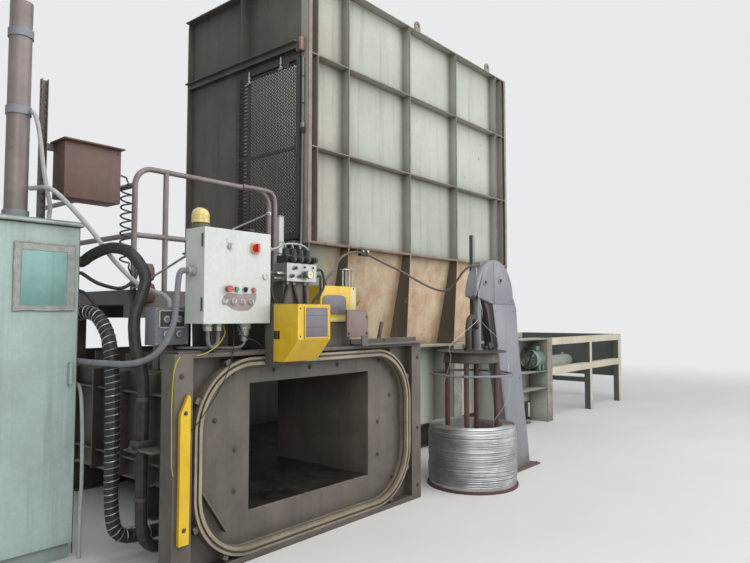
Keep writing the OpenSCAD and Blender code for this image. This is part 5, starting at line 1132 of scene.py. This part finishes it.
hose(bm, [(cabinet_side, -0.98, 1.90), (-1.37, -0.98, 1.90), (-1.29, -1.06, 1.83),
          (-1.14, -1.08, 1.80), (-1.02, -1.04, 1.86), (-0.975, -1.00, 1.92),
          (-0.965, -0.988, 1.925), (-0.955, -0.985, 1.925)], 0.013, 10)
hose(bm, [(cabinet_side, -0.96, 1.78), (-1.375, -0.96, 1.78), (-1.33, -1.01, 1.74),
          (-1.27, -1.06, 1.60), (-1.255, -1.10, 1.35), (-1.255, -1.20, 1.0),
          (-1.262, -1.245, 0.70), (-1.275, -1.263, 0.60), (-1.28, -1.268, 0.58)], 0.012, 10)
piece("dark_hoses", bm, "black_rubber", sharp=80)
bm = bmesh.new()
lead = smooth_line([(-1.1445, -1.00, 2.62), (-1.12, -1.00, 2.62), (-1.085, -1.03, 2.60),
                    (-1.078, -1.045, 2.56)], 5)
curl = wrap_line([Vector((-1.10, -1.06, 2.55)), Vector((-1.105, -1.07, 1.98))], 0.036, 0.062, 16)
tail = [curl[-1], (-1.06, -1.04, 1.95), (-0.975, -0.985, 1.84), (-0.948, -0.985, 1.83)]
tube(bm, lead + curl + tail, 0.0062, 6)
piece("curly_lead", bm, "black_wire", sharp=80)

# Guide tower: sheet covers with open seams, axle caps, dark channel, green bar and base
bm = bmesh.new()
right, left = ([(2.275 + 0.366 * math.cos(a), 1.800 + 0.366 * math.sin(a))
                for a in map(math.radians, degrees)]
               for degrees in (range(0, 94, 4), range(96, 181, 4)))
for outline in ([(2.256, 1.728), (2.700, 1.728), (2.672, 1.775)] + right + [(2.256, 2.165)],
                left + [(1.909, 1.803), (2.207, 1.736), (2.248, 1.728), (2.248, 2.160)],
                [(2.222, 1.720), (2.705, 1.720), (2.725, 1.66), (2.745, 1.40), (2.990, 0.03),
                 (2.600, 0.03)]):
    plate(bm, outline, tower_front - 0.003, tower_front + 0.0005, 0.0008)
for x, z in ((1.94, 1.86), (2.03, 2.06), (2.22, 1.77), (2.30, 2.13), (2.56, 1.99), (2.62, 1.76),
             (2.28, 1.66), (2.66, 1.66), (2.42, 0.95), (2.78, 0.95), (2.63, 0.10), (2.93, 0.10)):
    bolt(bm, (x, tower_front - 0.003, z), forward, 0.007)
piece("tower_covers", bm, "tower_paint")
axles = ((2.071, 1.940), (2.370, 1.971))
bm = bmesh.new()
for x, z in axles:
    lathe(bm, [(0.0155, 0.0), (0.036, 0.0), (0.036, 0.004), (0.028, 0.007), (0.0155, 0.007),
               (0.0155, 0.0)], (x, tower_front - 0.003, z), forward, 32)
piece("axle_rings", bm, "tower_paint")
bm = bmesh.new()
for x, z in axles:
    nut(bm, (x, tower_front - 0.012, z), forward, 0.014, 0.010)
plate(bm, [(2.075, 1.768), (2.203, 1.738), (2.300, 1.292), (2.236, 1.292), (2.150, 1.640)],
      -2.122, -2.040, 0.002)
plate(bm, [(2.205, 1.736), (2.218, 1.733), (2.318, 1.292), (2.304, 1.292)], -2.146, -2.138)
piece("tower_channel", bm, "hatch_dark")
bm = bmesh.new()
block(bm, (2.0435, -2.0198, 1.2706), (2.0815, -1.9835, 2.4165), 0.002)
piece("green_bar", bm, "bar_green")
bm = bmesh.new()
block(bm, (2.553, -2.2015, 0.001), (3.122, -1.9585, 0.0175), 0.002)
for x in (2.60, 3.08):
    for y in (-2.18, -1.98):
        bolt(bm, (x, y, 0.0175), up, 0.013)
piece("tower_foot", bm, "red_lead")

# Wire stand: dark disc skin, its drum, the hoop, a crook pipe and the tube up to the head
bm = bmesh.new()
lathe(bm, [(0.0, 0.0), (0.3355, 0.0), (0.3370, 0.004), (0.3370, 0.008), (0.3345, 0.0105),
           (0.0, 0.0105)], stand + up * 1.2605, up, 56)
nut(bm, (1.95, -2.00, disc_top), up, 0.034, 0.022)
nut(bm, (2.125, -2.115, disc_top), up, 0.026, 0.034)
rod(bm, (2.165, -2.15, 1.312), (2.165, -2.12, 1.312), 0.034, 20)
rod(bm, (2.165, -2.135, disc_top), (2.165, -2.135, 1.30), 0.010, 10)
for c, s in around(4, math.radians(20)):
    nut(bm, stand + Vector((0.22 * c, 0.22 * s, disc_top)), up, 0.013, 0.010)
    clip(bm, stand + Vector((0.384 * c, 0.384 * s, 1.05)), (-s, c, 0), 0.0135, 0.02)
piece("disc_skin", bm, "hatch_dark")
bm = bmesh.new()
lathe(bm, [(0.0, 1.1605), (0.2735, 1.1605), (0.2750, 1.164), (0.2735, 1.172),
           (0.2610, 1.2600), (0.0, 1.2600)], stand, up, 48)
piece("disc_drum", bm, "worn_steel")
bm = bmesh.new()
tube(bm, ring_line(stand + up * 1.05, 0.385, 64), 0.0110, 12, closed=True)
piece("guide_hoop", bm, "tower_paint", sharp=60)
bm = bmesh.new()
foot_z = disc_top + 0.0003
hose(bm, [(1.868, -2.075, foot_z), (1.868, -2.075, 1.30), (1.868, -2.075, 1.47),
          (1.884, -2.075, 1.555), (1.925, -2.075, 1.595), (1.970, -2.075, 1.58),
          (1.995, -2.075, 1.54), (2.020, -2.075, 1.49)], 0.031, 18)
rod(bm, (1.868, -2.075, foot_z), (1.868, -2.075, 1.282), 0.046, 24)
piece("crook_pipe", bm, "hatch_dark", sharp=60)
bm = bmesh.new()
stay_x, stay_y, flange_top = 2.035, -2.075, 1.286
for top, radius in ((1.7860, 0.036), (flange_top, 0.052)):
    rod(bm, (stay_x, stay_y, foot_z), (stay_x, stay_y, top), radius, 28)
for c, s in around(4, math.radians(40)):
    bolt(bm, (stay_x + 0.044 * c, stay_y + 0.044 * s, flange_top), up, 0.005)
piece("head_stay", bm, "tower_paint")

# Main cylinder and ejector cylinder: bolts of their end caps, unions of their hoses
bm = bmesh.new()
for c, s in around(8, 0.2):
    bolt(bm, (9.0, 0.098 * c, 0.725 + 0.098 * s), (1, 0, 0), 0.012)
    bolt(bm, (0.098 * c, 3.895, 0.725 + 0.098 * s), (0, 1, 0), 0.012)
for x, y in ((6.1, 0), (8.8, 0), (0, 1.35), (0, 3.70)):
    nut(bm, (x, y, 0.848), up, 0.026, 0.034)
piece("cylinder_bolts", bm, "zinc")

# Rusty lip and edge of the cabinet's sheet
bm = bmesh.new()
block(bm, (-2.3148, -1.0355, drip_z0), (-1.3845, -1.0335, drip_z1), 0.0005)
block(bm, (-1.4003, -1.0105, 0.03), (-1.3978, -0.996, 2.208), 0.0005)
block(bm, (-1.3855, -1.0355, drip_z0), (-1.3835, -0.5045, drip_z1), 0.0005)
piece("cabinet_edges", bm, "brown_box")

# Small operator box: dark switch plate in a light frame, a ring round every switch
station_face = -1.710
bm = bmesh.new()
block(bm, (-1.208, station_face - 0.0030, 1.536), (-1.034, station_face + 0.0005, 1.636), 0.0008)
piece("station_plate", bm, "hatch_dark")
bm = bmesh.new()
rim, rim_y0, rim_y1 = 0.0075, station_face - 0.0045, station_face + 0.0005
for x in (-1.2155, -1.0340):
    block(bm, (x, rim_y0, 1.5285), (x + rim, rim_y1, 1.6435), 0.0008)
for z in (1.5285, 1.6360):
    block(bm, (-1.2155, rim_y0, z), (-1.0265, rim_y1, z + rim), 0.0008)
for x in (-1.165, -1.075):
    for z in (1.49, 1.585):
        lathe(bm, [(0.0122, 0.0), (0.0122, 0.003), (0.016, 0.0042), (0.0205, 0.003), (0.0225, 0.0),
                   (0.0122, 0.0)], (x, station_face - 0.0118, z), forward, 24)
for x in (-1.228, -1.012):
    for z in (1.432, 1.648):
        rod(bm, (x, station_face + 0.001, z), (x, station_face - 0.003, z), 0.0045, 12)
piece("station_rings", bm, "light_grey_paint")

# Bright stay from the box's back to the hand rail's corner post
bm = bmesh.new()
rod(bm, (-1.064, -1.800, 2.004), (-0.945, -0.905, 1.806), 0.0075, 12)
rod(bm, (-1.066, -1.8105, 2.006), (-1.064, -1.797, 2.003), 0.018, 16)
clip(bm, (-0.94, rail_y, 1.806), up, 0.0235, 0.03)
piece("bright_stay", bm, "galvanised_wire")

# Small motor on the shelf by the cylinder end: cowl with its grille, fins, feet, terminal box
motor = Vector((5.46, -0.925, 0.958))
bm = bmesh.new()
lathe(bm, [(0.0, 0.062), (0.136, 0.062), (0.136, 0.0), (0.142, 0.0), (0.142, 0.085), (0.128, 0.09),
           (0.128, 0.30), (0.110, 0.325), (0.05, 0.33), (0.0, 0.33)], motor, (1, 0, 0), 40)
fin = 0.1295
for c, s in around(30):
    spot = motor + Vector((0.09, fin * c, fin * s))
    rod(bm, spot, spot + Vector((0.20, 0, 0)), 0.0055, 5)
for dx in (0.12, 0.25):
    for dy in (-0.085, 0.085):
        block(bm, motor + Vector((dx - 0.02, dy - 0.035, -0.1755)),
              motor + Vector((dx + 0.02, dy + 0.035, -0.085)), 0.004)
block(bm, motor + Vector((0.13, -0.06, 0.125)), motor + Vector((0.25, 0.06, 0.195)), 0.006)
piece("motor_body", bm, "motor_green")
bm = bmesh.new()
cowl_r = 0.139
for r in (0.03, 0.05, 0.07, 0.09, 0.11, cowl_r):
    line = [motor + Vector((-0.001, r * c, r * s)) for c, s in around(36)]
    tube(bm, line, 0.0035 if r == cowl_r else 0.0018, 5, closed=True)
grille = motor + Vector((0.001, 0, 0))
for c, s in around(4, sweep=math.pi):
    out = Vector((0, 0.138 * c, 0.138 * s))
    rod(bm, grille - out, grille + out, 0.002, 6)
lathe(bm, [(0.0, 0.006), (0.024, 0.006), (0.026, 0.0), (0.0, 0.0)],
      motor + Vector((0.002, 0, 0)), (-1, 0, 0), 20)
piece("motor_grille", bm, "zinc")
bm = bmesh.new()
hose(bm, [motor + Vector(v) for v in ((0.129, 0, 0.16), (0.11, 0, 0.16), (0.06, -0.02, 0.15),
                                      (0.0, -0.03, 0.06), (-0.03, 0, -0.08), (-0.06, 0.05, -0.15),
                                      (-0.08, 0.08, -0.166), (-0.30, 0.10, -0.166),
                                      (-0.60, 0.10, -0.166))], 0.010, 8)
piece("motor_lead", bm, "black_rubber", sharp=80)
